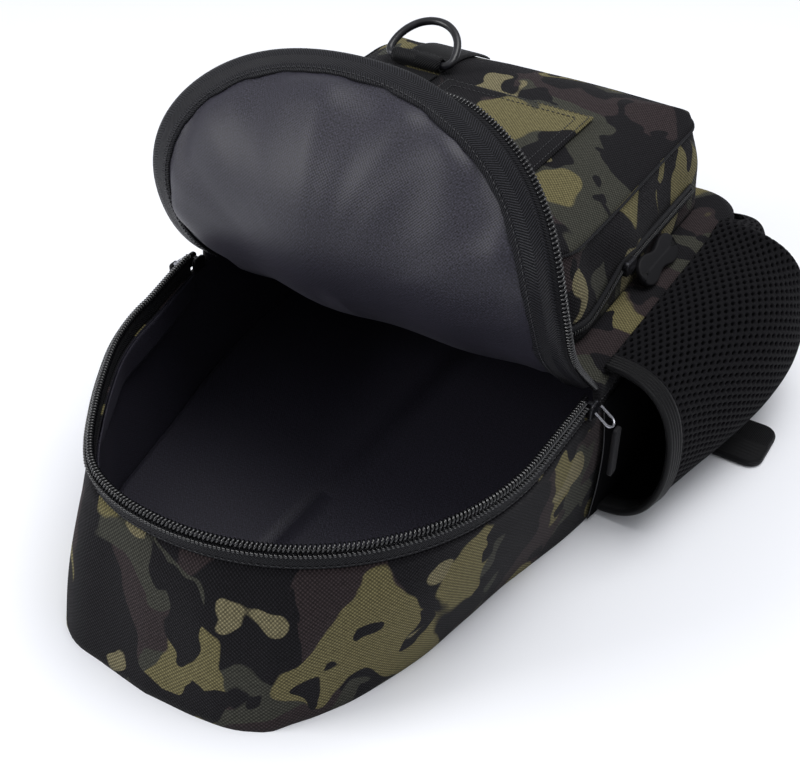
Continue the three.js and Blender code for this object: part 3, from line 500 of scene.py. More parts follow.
def black_woven(name, dark, light, spacing, band, rough, depth):
    """Black woven tape: painted highlights, its colour lightened in broken glints along the ribs' crowns."""
    material, tree, shader = new_material(name)
    place = cloth_place(tree)
    ribs = twill(tree, place, spacing, band)
    glint_breakup = put(tree, "ShaderNodeTexNoise", {"Vector": place, "Scale": 1500.0, "Detail": 1.0}).outputs["Fac"]
    # Painted highlights: the ribs' crowns are lightened where the noise lets them, in broken glints.
    painted_rib_glints = put(tree, "ShaderNodeMath", {0: ribs, 1: glint_breakup}, operation="MULTIPLY").outputs[0]
    shade = put(tree, "ShaderNodeMix", {
        0: painted_rib_glints, 6: linear(dark), 7: linear(light),
    }, data_type="RGBA").outputs[2]
    tree.links.new(shade, shader.inputs["Base Color"])
    shader.inputs["Roughness"].default_value = rough
    shader.inputs["Specular IOR Level"].default_value = 0.14
    shader.inputs["Sheen Weight"].default_value = 0.02
    raised = put(tree, "ShaderNodeBump", {"Height": ribs, "Strength": 0.8, "Distance": depth})
    tree.links.new(raised.outputs["Normal"], shader.inputs["Normal"])
    return material


# Zip tape of black polyester in herringbone: matt, with fine slanting ribs 1.5 mm apart, where the real
# ones lie 0.7 mm apart, and with painted highlights along the ribs' crowns.
herringbone = black_woven("polyester_herringbone", "08080a", "2a2a2f", 0.0015, 0.0045, 0.65, 0.0004)

# Zip coil of black nylon, extruded and bent hot: smooth, with small sharp glints on each turn.
nylon, tree, shader = new_material("nylon_wire")
shader.inputs["Base Color"].default_value = linear("0b0b0d")
shader.inputs["IOR"].default_value = 1.55
shader.inputs["Specular IOR Level"].default_value = 0.65
scuff = put(tree, "ShaderNodeTexNoise", {"Vector": cloth_place(tree), "Scale": 300.0}).outputs["Fac"]
spread = put(tree, "ShaderNodeMapRange", {"Value": scuff, "To Min": 0.14, "To Max": 0.3}).outputs["Result"]
tree.links.new(spread, shader.inputs["Roughness"])


def unit(ways):
    """Ways with a length of one."""
    return ways / np.linalg.norm(ways, axis=-1)[..., None]


def tube(name, grid, flat, material, ring):
    """A mesh from a grid of points whose rows are closed loops, and which may be a ring itself."""
    index = np.arange(grid.shape[0] * grid.shape[1]).reshape(grid.shape[:2])
    index[:, -1] = index[:, 0]
    if ring:
        index[-1] = index[0]
    faces, flats = quads(index).reshape(-1, 4), quads(flat, -2).reshape(-1, 4, 2)
    return mesh_piece(name, grid.reshape(-1, 3), faces, flats, [material])


def rod(name, line, side, radius, material, sides=6, ring=False):
    """A round wire along a line of points, with a way out of it given at each point."""
    line, side = np.asarray(line, float), np.asarray(side, float)
    ways = unit(np.roll(line, -1, 0) - np.roll(line, 1, 0) if ring else np.gradient(line, axis=0))
    side = unit(side - ways * np.sum(side * ways, 1)[:, None])
    third = np.cross(ways, side)
    turn = np.linspace(0, 2 * math.pi, sides + 1)
    round_it = side[:, None] * np.cos(turn)[:, None] + third[:, None] * np.sin(turn)[:, None]
    grid = line[:, None] + radius * round_it
    run = lengths(line)
    if ring:
        grid = np.concatenate([grid, grid[:1]])
        run = np.append(run, run[-1] + np.linalg.norm(line[0] - line[-1]))
    return tube(name, grid, flat_grid(run, turn * radius), material, ring)


def even(line, step, *others):
    """A line of points, and what is known at each, at even steps along it."""
    run = lengths(line)
    where = np.linspace(0, run[-1], max(int(round(run[-1] / step)), 2) + 1)
    spread = []
    for values in (line, *others):
        spread.append(np.stack([np.interp(where, run, values[:, k]) for k in range(3)], -1))
    return where, *spread


def coil(name, line, out, rise, width, height, pitch, wire, material, turns=9):
    """A zip's coil: a flattened spiral of wire along a line, with its width along out and its height
    along rise."""
    where, centre, out, rise = even(line, pitch / turns, out, rise)
    angle = where / pitch * 2 * math.pi
    # The turns are squarer than a circle, and each leans a little along the tape.
    x, y = (np.sign(s) * np.abs(s) ** 0.7 for s in (np.cos(angle), np.sin(angle)))
    way = unit(np.gradient(centre, axis=0))
    wide, high = (x * (width / 2 - wire))[:, None], (y * (height / 2 - wire))[:, None]
    spiral = centre + out * wide + rise * high + way * (y * pitch * 0.18)[:, None]
    side = out * np.cos(angle)[:, None] + rise * np.sin(angle)[:, None] + way * 0.01
    return rod(name, spiral, side, wire, material, 5)


def tube_faces(count, rows, sides):
    """Faces between rows of closed loops of points, for a count of small pieces alike."""
    index = np.arange(count * rows * sides).reshape(count, rows, sides)
    after = np.roll(index, -1, axis=2)
    return np.stack([index[:, :-1], after[:, :-1], after[:, 1:], index[:, 1:]], -1).reshape(-1, 4)


def stitches(name, line, up, pitch, length, thick, material, lean=0.0):
    """A row of sewn stitches: short threads that dip into the cloth at both ends."""
    line, up = even(np.asarray(line, float), pitch, np.asarray(up, float))[1:]
    line, up = (line[:-1] + line[1:]) / 2, unit((up[:-1] + up[1:]) / 2)
    way = unit(np.gradient(line, axis=0))
    side = np.cross(way, up)
    verts = []
    # Where along the stitch, how high and how thick, from one hole in the cloth to the next.
    shape = [(-0.5, -0.6, 0.5), (-0.3, 0.25, 1), (0, 0.6, 1.05), (0.3, 0.25, 1), (0.5, -0.6, 0.5)]
    for share, height, wide in shape:
        for turn in np.linspace(0, 2 * math.pi, 6)[:-1]:
            verts.append(
                line + (way + side * lean) * (share * length)
                + up * (height * thick + 0.5 * thick * wide * math.sin(turn))
                + side * (0.5 * thick * wide * math.cos(turn))
            )
    faces = tube_faces(len(line), 5, 5)
    flats = np.zeros((len(faces), 4, 2))
    flats[:, 1:3, 0] = thick
    flats[:, 2:, 1] = length
    return mesh_piece(name, np.stack(verts, 1).reshape(-1, 3), faces, flats, [material])


# Sewing thread of black bonded nylon: smooth, with a dull shine.
thread, tree, shader = new_material("bonded_thread")
twist = crossing(tree, cloth_place(tree), 0.0005, 0.6)
shade = put(tree, "ShaderNodeMix", {
    0: twist, 6: linear("0d0d0f"), 7: linear("2b2b30"),
}, data_type="RGBA").outputs[2]
tree.links.new(shade, shader.inputs["Base Color"])
shader.inputs["Roughness"].default_value = 0.5
# Rows of topstitching: the stitches' pitch, length and thread.
topstitch = (3.2, 2.4, 0.45, thread)

rim_half = join(top_station(np.arange(0, 90, 1.5)), side_station(np.linspace(mouth_centre, rim_end, 14)))
rim = drawn_closer(rim_half)
rim_run = lengths(rim["mouth"])
wave = 0.35 * ripple(rim_run / 22, rim_run / 50, 11)
heights = np.linspace(rim_base - 0.1, rim_base + tape_height + 0.9, 8)
bulge = 0.25 * np.sin(np.linspace(0, math.pi, 8))
tape_out = carried(rim, [(-0.45 + b, z) for b, z in zip(bulge, heights)])
tape_in = carried(rim, [(-2.1, z) for z in heights])
for face in (tape_out, tape_in):
    face += rim["out"][:, None] * (wave[:, None] * np.linspace(0, 1, 8)[None] * 0.6)[..., None]
tape = fabric("mouth_tape", tape_out, tape_in, flat_grid(rim_run, heights), [herringbone, herringbone])
dress(tape, "webbing", "rim_tape")

coil_line = carried(rim, [(-1.9, rim_base + tape_height + 2.1)])[:, 0]
up = points(np.zeros(len(rim_run)), 0, 1)
coil_piece = coil("mouth_coil", coil_line, rim["out"], up, 4.2, 4.7, coil_pitch, 0.72, nylon)
dress(coil_piece, "nylon", "rim_coil")
sewn_line = carried(rim, [(0.35, rim_base + tape_height + 0.1)])[:, 0]
dress(stitches("mouth_lockstitch", sewn_line, rim["out"], coil_pitch, 2.3, 1.5, nylon, 0.5), "nylon")
low_line = carried(rim, [(-0.15, rim_base + 1.6)])[:, 0]
dress(stitches("mouth_topstitch", low_line, rim["out"], *topstitch), "webbing")

# Hem of the lining inside the mouth: a loose strip of the taffeta, folded over and sewn under the tape.
# It hangs in shallow waves, because the lining was cut a little longer than the mouth.
hem_depth = 17
hem_shares = np.linspace(1 - hem_depth / gusset_height, 0.997, 9)
hem_wave = (1.1 * ripple(rim_run / 7, rim_run / 19, 13) + 0.7)[:, None] * np.linspace(1, 0, 9) ** 0.8
hem_sides = [
    wall(rim, hem_shares, cloth + away) - rim["out"][:, None] * hem_wave[..., None] for away in (1.7, 0.9)
]
hem_flat = flat_grid(rim_run, hem_shares * gusset_height)
dress(fabric("lining_fold", *hem_sides, hem_flat, [taffeta, taffeta]), "lining", "lining_hem")

# Front panel: the fixed lower half of the bag's front, of the same oxford cloth over thin foam. It turns
# down over a round shoulder to the gusset's seam, and the front pocket hides its middle.
front_rise, front_round = 13, 10
front_top = rim_base + front_rise
front_half = join(
    side_station(np.linspace(fold, foot_corner, 40)[:-1]),
    corner_station(np.linspace(0, 90, 13)),
    foot_station(np.linspace(0, 1, 12)[1:]),
)
front_places = join(front_half, {key: value[1:] for key, value in left_of(front_half).items()})
insets = np.array([0, 0.02, 0.05, 0.12, 0.22, 0.35, 0.5, 0.7, 0.85, 1])
rises_in = curve([0, 0.02, 0.05, 0.3, 1], [0, 0.3, 0.5, 0.82, 1], insets)


def front_face(inward):
    """Rows from the shoulder's seam up and in to the middle of the front panel."""
    section = [
        (-inset * front_round - inward, rim_base + rise * (front_rise - inward))
        for inset, rise in zip(insets, rises_in)
    ]
    shoulder = carried(front_places, section)
    rest = towards_middle(shoulder[:, -1], [0.04, 0.1, 0.2, 0.4, 0.7, 1], (fold, 150))
    return np.concatenate([shoulder, rest], 1)


front_outer, front_inner = front_face(0.0), front_face(cloth)
front_run = lengths(front_places["mouth"])
uneven = ripple(front_run / 16, front_run / 41, 17)
front_outer[:, 2:9, 2] += (uneven[:, None] * np.sin(np.linspace(0, math.pi, 7))) * 0.5
front_flat = front_outer[..., :2].copy()
front_flat[:, :5] += (front_places["out"][:, None, :2] * (front_top - front_outer[:, :5, 2:3])) * 0.9
front = fabric("front_cloth", front_outer, front_inner, front_flat + [700, 40], [camo, taffeta], weld=True)
dress(front, "camo", "front_panel")
front_seam = carried(front_places, [(0.1, rim_base + 1.2)])[:, 0]
dress(stitches("front_topstitch", front_seam, front_places["out"], *topstitch), "webbing")

# Lid: the hinged upper half of the bag's front, of foam between the oxford cloth and the taffeta lining.
# It is thrown open and curls over towards the foot, and its lining is drawn into creases that fan in from
# the binding sewn round its edge.
lid_binding_width, lid_gap = 13, 0.8
lid_climb = [0, 0.2, 0.4, 0.6, 0.8, 1]
lid_left, lid_right, lid_bow = [135, 113, 84, 41, 15, -11], [132, 128, 100, 59, 36, 3], 15
lid_straight = fold - mouth_centre
lid_root = (fold - seam - cloth / 2, front_top - cloth / 2)


def lid_middle(x, length):
    """Points of the lid's middle surface, from the place across it and the length from its fold."""
    x, length = np.broadcast_arrays(np.asarray(x, float), np.asarray(length, float))
    side = x / mouth_width + 0.5
    y, z, count = np.full(x.shape, lid_root[0]), np.full(x.shape, lid_root[1]), 24
    for i in range(count):
        climb = (i + 0.5) / count * length / mouth_length
        left, right = curve(lid_climb, lid_left, climb), curve(lid_climb, lid_right, climb)
        angle = np.radians(left + (right - left) * side + lid_bow * (1 - (side * 2 - 1) ** 2))
        y, z = y + np.cos(angle) * length / count, z + np.sin(angle) * length / count
    return points(x, y, z)


def lid_face(flat, away):
    """Points off the lid's middle surface, on the lining's side where away is positive."""
    x, length = flat[..., 0], flat[..., 1]
    across = lid_middle(x + 1, length) - lid_middle(x - 1, length)
    along = lid_middle(x, length + 1) - lid_middle(x, np.maximum(length - 1, 0))
    normal = unit(np.cross(across, along))
    return lid_middle(x, length) + normal * np.asarray(away)[..., None]


def lid_edge(inset, count=96):
    """Places on the flat lid at a distance in from its edge, from one end of the fold round to the other."""
    radius = np.maximum(half_mouth - inset, 0)
    straight = np.linspace(0, 1, 17)[:-1] * lid_straight
    turn = np.linspace(math.pi, 0, count + 1)
    left = np.stack([np.full(16, -radius), straight], -1)
    right = np.stack([np.full(16, radius), straight[::-1]], -1)
    tip = np.stack([radius * np.cos(turn), lid_straight + radius * np.sin(turn)], -1)
    return np.concatenate([left, tip, right])


edge_inset = coil_width + lid_gap
near_binding = [7, 9.5, 12, 14, 16, 19, 23, 28]
panel_insets = np.concatenate([np.add(near_binding, edge_inset), np.linspace(38, half_mouth, 12)])
lid_flat = np.stack([lid_edge(inset) for inset in panel_insets], 1)
lid_x, lid_y = lid_flat[..., 0], lid_flat[..., 1]
edge_run = lengths(lid_edge(0))
inward = panel_insets - edge_inset - lid_binding_width
bare = np.maximum(inward, 0)
# Fine puckers stand at the binding, where the cloth is gathered under it, and broad ones run 60 mm in.
gathered = np.exp(-inward / 26) * np.clip((90 - inward) / 30, 0, 1)
gather = np.where(inward > 0, gathered, np.exp(inward / 3))
fan = ripple(edge_run / 5.5, edge_run / 10, 23)
broad = ripple(edge_run / 17, edge_run / 29, 29)
spread_in = (inward > -2) * np.exp(-bare / 60) * (1 - np.clip((inward - 12) / 55, 0, 1)) ** 1.5
crease = fan[:, None] * gather * 0.9 + broad[:, None] * spread_in * 4.2
# Slack folds run up the lid from its fold, and sharper ones are drawn up to its tip on the right.
slack = 4.4 * ripple(lid_x / 15, lid_y / 85, 31) * (np.clip(inward, 0, 15) / 15)
drawn = 4.0 * ripple(lid_x / 7, lid_y / 60, 71) * np.exp(-bare / 40)
drawn = drawn * np.clip((lid_x + 60) / 80, 0, 1) * np.clip((lid_y - 20) / 50, 0, 1)
# The lining lies over the foam, and sinks into it less than it stands out.
swell = 1.1 * (1 - np.exp(-bare / 22))
lining_off = cloth / 2 + 0.2 + (0.9 + swell + crease + slack + drawn) * np.clip(inward / 6, 0, 1)
lining_off = np.maximum(np.maximum(lining_off, 0.6 + 0.35 * lining_off), -0.4)
faces = lid_face(lid_flat, lining_off), lid_face(lid_flat, -cloth / 2 + 0.08 * slack)
dress(fabric("lid_cloth", *faces, lid_flat + [1200, 60], [taffeta, camo], weld=True), "lining", "lid_panel")

# Binding of the lid: a grosgrain tape of black polyester, folded in half over the edge and sewn through.
# Its ribs slant across it in herringbone, 1.6 mm apart, and glint where it bends; their crowns carry
# painted highlights as well.
grosgrain = black_woven("polyester_grosgrain", "030304", "3b3b42", 0.0016, 0.0045, 0.45, 0.0007)
section = [(13.6, 1.7), (13.3, 2.8), (11.5, 3.1), (8.5, 2.9), (5, 2.8), (2.4, 2.5), (0.7, 1.6), (0, 0.4)]
section = section + [(inset, -away) for inset, away in section[::-1]]
pucker = 0.5 * ripple(edge_run / 3.1, edge_run / 9, 37) + 0.35 * broad
# On the left and over the top the tape is turned back, so that the binding hides it.
turned = np.clip((edge_run / edge_run[-1] - 0.52) / 0.1, 0, 1)
turned = 1 - turned ** 2 * (3 - 2 * turned)


def lid_rows(inset, away):
    """A line round the lid at an inset given place by place, and off its middle surface."""
    near, far = lid_edge(0), lid_edge(20)
    flat = near + (far - near) * (np.broadcast_to(inset, edge_run.shape) / 20)[:, None]
    return lid_face(flat, np.broadcast_to(away, edge_run.shape))


rows, core_rows = [], []
for inset, away in section:
    loose, outward = (inset / 13) ** 2, turned * 3.4 * (1 - inset / 16)
    raised = away + np.sign(away) * 0.15 + np.maximum(pucker * loose, -1) * 0.3
    rows.append(lid_rows(edge_inset + inset - outward + pucker * loose ** 2 * 0.9, raised))
    core_rows.append(lid_rows(edge_inset + inset * 0.9 + 0.4 - outward, away * 0.75))
bound_flat = flat_grid(edge_run, lengths(np.array(section)))
binding = fabric(
    "lid_binding_tape", np.stack(rows, 1), np.stack(core_rows, 1), bound_flat, [grosgrain, grosgrain],
)
dress(binding, "webbing", "lid_binding")
seam_line, seam_up = lid_rows(edge_inset + 11, 3.3), lid_rows(edge_inset + 11, 5.0)
dress(stitches("lid_stitch", seam_line, seam_up - seam_line, 3.0, 2.2, 0.5, thread), "webbing")

# Zip on the lid's edge: the other half of the mouth's zip, its coil outermost on a strip of its tape.
tape_section = [(0.9, 0.35), (2.5, 0.5), (4.5, 0.6), (7, 0.9)]
faces = []
for lift in (1, -1):
    rows = [lid_rows(inset + turned * 3.2, away * lift - turned * 1.2) for inset, away in tape_section]
    faces.append(np.stack(rows, 1))
tape_flat = flat_grid(edge_run, [0, 1.6, 3.6, 6.1])
dress(fabric("lid_tape", *faces, tape_flat, [herringbone, herringbone]), "webbing")
middle = lid_rows(2.0 + turned * 4.2, -turned * 3.4)
beyond = unit(lid_rows(turned * 4.2, -turned * 3.4) - middle)
facing = lid_rows(2.0 + turned * 4.2, 1.0 - turned * 3.4) - middle
dress(coil("lid_teeth", middle, beyond, facing, 3.8, 3.4, coil_pitch, 0.6, nylon), "nylon", "lid_coil")

# Front pocket: a box of the oxford cloth with a domed top, sewn together along a piped seam and sewn to
# the front panel at its foot. Its walls lean out and sag in soft folds.
pocket_right, pocket_left = half_mouth - 33, half_mouth - 8
pocket_near, pocket_far, pocket_height, pocket_dome = 10, 19, 52, 14
pocket_shoulder, pocket_flare, pocket_corner, pocket_cloth = 45, 9, 24, 2.5
pocket_base = front_top + seam
pocket_middle = np.array([(pocket_right - pocket_left) / 2, (fold + pocket_near + foot_end - pocket_far) / 2])
pocket_half = np.array([(pocket_right + pocket_left) / 2, (foot_end - pocket_far - fold - pocket_near) / 2])


def round_box(half, radius, across, bend):
    """Points round a box with round corners about the origin, and the way out at each, with the first
    again at the end. Half is half of its size, less the radius."""
    corners, ways = [], []
    for sx, sy, start in [(1, -1, -90), (1, 1, 0), (-1, 1, 90), (-1, -1, 180)]:
        angle = np.radians(np.linspace(start, start + 90, bend + 1))
        ways.append(np.stack([np.cos(angle), np.sin(angle)], -1))
        corners.append(half * [sx, sy] + radius * ways[-1])
    line, out = [], []
    for k in range(4):
        start, end = corners[k][-1], corners[(k + 1) % 4][0]
        line += [corners[k], start + (end - start) * np.linspace(0, 1, across + 1)[1:-1, None]]
        out += [ways[k], np.repeat(ways[k][-1:], across - 1, 0)]
    return np.concatenate(line + [corners[0][:1]]), np.concatenate(out + [ways[0][:1]])


def pocket_line(outset, across=10, bend=10):
    """Points round the pocket and the way out at each, moved out from its top seam."""
    radius = max(pocket_corner + outset, pocket_corner / 3)
    line, out = round_box(pocket_half + outset - radius, radius, across, bend)
    return pocket_middle + line, out


def pocket_top(x, y):
    """Height of the pocket's top at a place."""
    beside, ahead = np.abs(x - pocket_middle[0]), np.abs(y - pocket_middle[1])
    near = np.minimum(pocket_half[0] - beside, pocket_half[1] - ahead)
    share = np.clip(near / pocket_shoulder, 0, 1)
    return pocket_base + pocket_height + pocket_dome * (1 - (1 - share) ** 2)


wall_shares = np.linspace(0, 1, 16)
pocket_run = lengths(pocket_line(0)[0])
row_number = np.arange(len(pocket_run))
closing = np.clip(np.minimum(row_number, row_number[::-1]) / 8, 0, 1)
fold_wave = ripple(pocket_run / 15, pocket_run / 37, 41) * closing
sunk = 1.4 * (ripple(pocket_run / 26, pocket_run / 50, 73) - 0.6) * closing
flare_shares, flare_values = [0, 0.45, 1], [1, 0.68, 0]


def pocket_walls(inward):
    """The pocket's walls, from the front panel up to the seam."""
    rows = []
    for share in wall_shares:
        flare = pocket_flare * curve(flare_shares, flare_values, share)
        line, out = pocket_line(0)
        loose = float(curve([0, 0.35, 0.6, 0.85, 1], [0, 0.3, 1, 0.8, 0], share))
        waves = 2.1 * fold_wave + 2.3 * closing * ripple(pocket_run / 11 + share * 2.2, share * 3.6, 59)
        line = line + out * (flare - inward + loose * waves)[:, None]
        height = (pocket_height - 0.6 * inward) * share + sunk * share ** 2
        rows.append(points(line[:, 0], line[:, 1], pocket_base + height))
    return np.stack(rows, 1)


walls = pocket_walls(0), pocket_walls(pocket_cloth)
walls_flat = flat_grid(pocket_run, wall_shares * (pocket_height + 3)) + [80, 620]
dress(fabric("pocket_walls", *walls, walls_flat, [camo, taffeta], ring=True), "camo", "front_pocket")
top_insets = [0, 0.7, 1.6, 3, 5, 8, 12, 17, 23, 30, 38, 46]
top_insets = np.concatenate([top_insets, np.linspace(58, pocket_half.min(), 5)])
straight_in = 24


def pocket_cap(drop):
    """The pocket's domed top, from its seam to the middle."""
    rows = []
    for inset in top_insets:
        if inset < straight_in:
            line = pocket_line(-inset)[0]
        else:
            spread = (pocket_half - inset) / (pocket_half - straight_in)
            line = pocket_middle + (pocket_line(-straight_in)[0] - pocket_middle) * spread
        roll = 0.8 * (1 - math.exp(-inset / 0.8)) - 0.8
        height = pocket_top(line[:, 0], line[:, 1]) - drop + roll + sunk * math.exp(-inset / 16)
        rows.append(points(line[:, 0], line[:, 1], height))
    return np.stack(rows, 1)


cap = pocket_cap(0)
settled = 1 - np.exp(-top_insets / 5)
puckers = (closing * ripple(pocket_run / 11, pocket_run / 27, 43))[:, None]
cap[..., 2] += 0.9 * puckers * (settled * np.exp(-top_insets / 22))
cap[..., 2] += 0.9 * ripple(cap[..., 0] / 24, cap[..., 1] / 30, 47) * settled
cap_faces = cap, pocket_cap(pocket_cloth)
cap_flat = cap[..., :2] + [330, 210]
dress(fabric("pocket_top", *cap_faces, cap_flat, [camo, taffeta], ring=True, weld=True), "camo")

# Piping in the pocket's top seam: a thin cord covered in black oxford, sewn between the two cloths.
pipe_line, pipe_out = pocket_line(0.7)
pipe = points(pipe_line[:-1, 0], pipe_line[:-1, 1], pocket_base + pocket_height - 0.2 + sunk[:-1])
pipe_side = points(pipe_out[:-1, 0], pipe_out[:-1, 1], 0)
dress(rod("pocket_pipe", pipe, pipe_side, 0.8, herringbone, 10, ring=True), "webbing", "pocket_piping")

# Slip pocket on the front pocket's top: one thickness of the oxford cloth, hemmed and sewn on along three
# sides with two rows of stitches, and open towards the lid.
patch_width, patch_length, patch_side, patch_foot = 95, 100, 42, 68
patch_right, patch_end = pocket_right - patch_side, foot_end - pocket_far - patch_foot
px = np.linspace(patch_right - patch_width, patch_right, 30)
py = np.linspace(patch_end - patch_length, patch_end, 30)
patch_flat = flat_grid(px, py)
grid_x, grid_y = patch_flat[..., 0], patch_flat[..., 1]
ease_x = np.sin(np.linspace(0, math.pi, 30))[:, None] ** 0.5
ease_y = np.cos(np.linspace(0, math.pi / 2, 30)) ** 0.4
lift = 1.4 * ease_x * ease_y + 0.25 * ripple(grid_x / 19, grid_y / 15, 53)
from_edge = np.minimum(np.minimum(grid_x - px[0], px[-1] - grid_x), py[-1] - grid_y)
hem_roll = 0.5 * np.exp(-((from_edge - 4) / 4) ** 2)
height = pocket_top(grid_x, grid_y) + 0.75
patch_outer = points(grid_x, grid_y, height + 0.95 + lift * 0.5 + hem_roll)
patch_inner = points(grid_x, grid_y, height)
patch = fabric("slip_pocket", patch_outer, patch_inner, patch_flat + [900, 520], [camo, camo])
dress(patch, "camo", "patch_pocket")
for name, inset in (("outer", 1.6), ("inner", 7.5)):
    right_side, left_side, end = px[-1] - inset, px[0] + inset, py[-1] - inset
    down = np.linspace(py[0], end, 30)
    line = [(right_side, y) for y in down]
    line += [(x, end) for x in np.linspace(right_side, left_side, 30)[1:]]
    line += [(left_side, y) for y in down[::-1][1:]]
    x, y = np.transpose(line)
    row = points(x, y, pocket_top(x, y) + 2.35)
    dress(stitches(f"slip_stitch_{name}", row, points(0 * x, 0, 1), 3.2, 2.3, 0.5, thread), "webbing")

# Zip of the front pocket: a narrow coil zip with its coil outwards, sewn on along the wall at the lid's
# side and the right wall.
chain_rise, chain_climb, grip_place = 8, 10, 80
steps, bend = 24, 10
chain_line, chain_out = pocket_line(0, steps, bend)
count = len(chain_line)
pick = np.r_[count - steps - 1:count - 1, 0:bend + steps]
chain_line, chain_out = chain_line[pick], chain_out[pick]
climb = np.clip((chain_line[:, 1] - (fold + pocket_near + pocket_corner)) / (grip_place / 2), 0, 1)
rise = chain_rise + chain_climb * climb ** 1.3


def on_wall(level, off):
    """Points on the pocket's wall at a height above the front panel, and off it."""
    reach = pocket_flare * curve(flare_shares, flare_values, level / pocket_height) + off
    place = chain_line + chain_out * reach[:, None]
    return points(place[:, 0], place[:, 1], pocket_base + level)


chain_section = [(-4.2, 2.0), (-1.6, 2.3), (-0.6, 2.0), (0.6, 2.0), (1.6, 2.3), (4.2, 2.0)]
chain_faces = [
    np.stack([on_wall(rise + across, off) for across, off in chain_section], 1),
    np.stack([on_wall(rise + across, 0.9) for across, _ in chain_section], 1),
]
chain_flat = flat_grid(lengths(chain_line), [0, 2.6, 3.6, 4.8, 5.8, 8.4])
chain_tape = fabric("pocket_zip_tape", *chain_faces, chain_flat, [herringbone, herringbone])
dress(chain_tape, "webbing", "pocket_chain")
chain_side, chain_up = points(chain_out[:, 0], chain_out[:, 1], 0), points(0 * rise, 0, 1)
chain_coil = on_wall(rise, 2.4), chain_side, chain_up
dress(coil("pocket_zip_coil", *chain_coil, 2.0, 3.4, 1.7, 0.42, nylon, 8), "nylon")

# D-ring's webbing: a strip of black polypropylene webbing over the pocket's top, folded round the ring's
# bar and sewn down, and a band of the same webbing across the pocket in front of it.
# Painted highlights: the webbing's ribs are lightened along their crowns.
webbing = black_woven("polypropylene_webbing", "060607", "1c1c20", 0.0016, 0.5, 0.55, 0.00035)
ring_wire, ring_width, ring_reach, ring_corner, ring_lean = 4.8, 39, 24, 5, 32
ring_play, webbing_thickness, loop_width, loop_stem = 0.5, 2, 34, 14
band_width, band_margin = 25, 2
ring_x, ring_y = 53 - pocket_left, foot_end - pocket_far - 61
fold_inner = ring_wire / 2 + ring_play
fold_outer = fold_inner + webbing_thickness
ring_z = float(pocket_top(ring_x + loop_width / 2, ring_y)) + seam + fold_outer


def strap_on(name, x_range, y_range, ribs_along, node):
    """Webbing laid on the pocket's top, with rounded woven edges."""
    xs, ys = np.linspace(*x_range, 18), np.linspace(*y_range, 22)
    gx, gy = np.meshgrid(xs, ys, indexing="ij")
    rim = np.minimum(gx - xs[0], xs[-1] - gx) if ribs_along else np.minimum(gy - ys[0], ys[-1] - gy)
    crown = (webbing_thickness - 0.2) * (0.55 + 0.45 * (1 - np.exp(-rim / 0.9)))
    low = pocket_top(gx, gy) + 0.45
    flat = np.stack([gy, gx] if ribs_along else [gx, gy], -1)
    faces = points(gx, gy, low + crown), points(gx, gy, low)
    return dress(fabric(name, *faces, flat, [webbing, webbing]), "webbing", node)


strip_x = (ring_x - loop_width / 2, ring_x + loop_width / 2)
strip_y = (ring_y + loop_stem + seam, foot_end - pocket_far)
strap_on("ring_webbing", strip_x, strip_y, True, "ring_strip")
band_end = ring_y - fold_outer - seam
band_x = (band_margin - pocket_left, strip_x[1])
strap_on("ring_cross_band", band_x, (band_end - band_width, band_end), False, "ring_band")


def folded_loop(name, bar, thick, width, stem, place, towards, node):
    """Webbing folded round a bar along X: round it from above, and back along its own stem below."""
    thick, half_width = thick - 0.2, width / 2 - 0.2
    mid = bar / 2 + ring_play + thick / 2
    lap = thick + 0.1 - mid
    angle = np.radians(np.concatenate([np.linspace(20, 200, 25), np.linspace(215, 270, 6)]))
    v, w = mid * np.cos(angle), mid * np.sin(angle)
    v = np.concatenate([np.linspace(stem - 0.8, mid * 0.95, 8), v, np.linspace(mid * 0.2, stem, 10)])
    w = np.concatenate([lap + (w[0] - lap) * np.linspace(0, 1, 8) ** 2, w, np.full(10, -mid)])
    line = np.stack([v, w], -1)
    way = unit(np.gradient(line, axis=0))
    normal = np.stack([-way[:, 1], way[:, 0]], -1)
    across = np.linspace(-half_width, half_width, 14)
    half = thick / 2 * (0.6 + 0.4 * (1 - np.exp((np.abs(across) - half_width) / 0.9)))
    faces = []
    for sign in (1, -1):
        face = line[:, None] + normal[:, None] * (sign * half)[:, None]
        faces.append(points(place[0] + across, place[1] + towards * face[..., 0], place[2] + face[..., 1]))
    flat = flat_grid(lengths(line), across)
    return dress(fabric(name, *faces, flat, [webbing, webbing]), "webbing", node)


ring_place = (ring_x, ring_y, ring_z)
folded_loop("ring_loop", ring_wire, webbing_thickness, loop_width, loop_stem, ring_place, 1, "ring_fold")
xs = np.linspace(-14, 14, 20) + ring_x
for part, ahead in (("near", 7.5), ("far", 12.5)):
    row = points(xs, ring_y + ahead, ring_z - fold_outer + 2 * webbing_thickness + 0.1)
    dress(stitches(f"ring_stitch_{part}", row, points(0 * xs, 0, 1), 2.4, 1.8, 0.45, thread), "webbing")

# D-ring: bent from 4.8 mm steel wire, butt-welded in its bar and enamelled black, so that it has a smooth
# skin with a soft dark shine and a few rubbed places.
enamel, tree, shader = new_material("black_enamel")
place = cloth_place(tree)
rub = put(tree, "ShaderNodeTexNoise", {"Vector": place, "Scale": 160.0, "Detail": 3.0}).outputs["Fac"]
worn = put(tree, "ShaderNodeMapRange", {"Value": rub, "From Min": 0.5, "From Max": 0.75}).outputs["Result"]
skin = put(tree, "ShaderNodeMix", {
    0: worn, 6: linear("131317"), 7: linear("26262c"),
}, data_type="RGBA").outputs[2]
tree.links.new(skin, shader.inputs["Base Color"])
gloss = put(tree, "ShaderNodeMapRange", {"Value": rub, "To Min": 0.26, "To Max": 0.42}).outputs["Result"]
tree.links.new(gloss, shader.inputs["Roughness"])
shader.inputs["Specular IOR Level"].default_value = 0.35
shader.inputs["Coat Weight"].default_value = 0.12
shader.inputs["Coat Roughness"].default_value = 0.25
ring_half, ring_bow = (ring_width + ring_wire) / 2, ring_reach + ring_wire - ring_corner
corner_x = ring_half - ring_corner


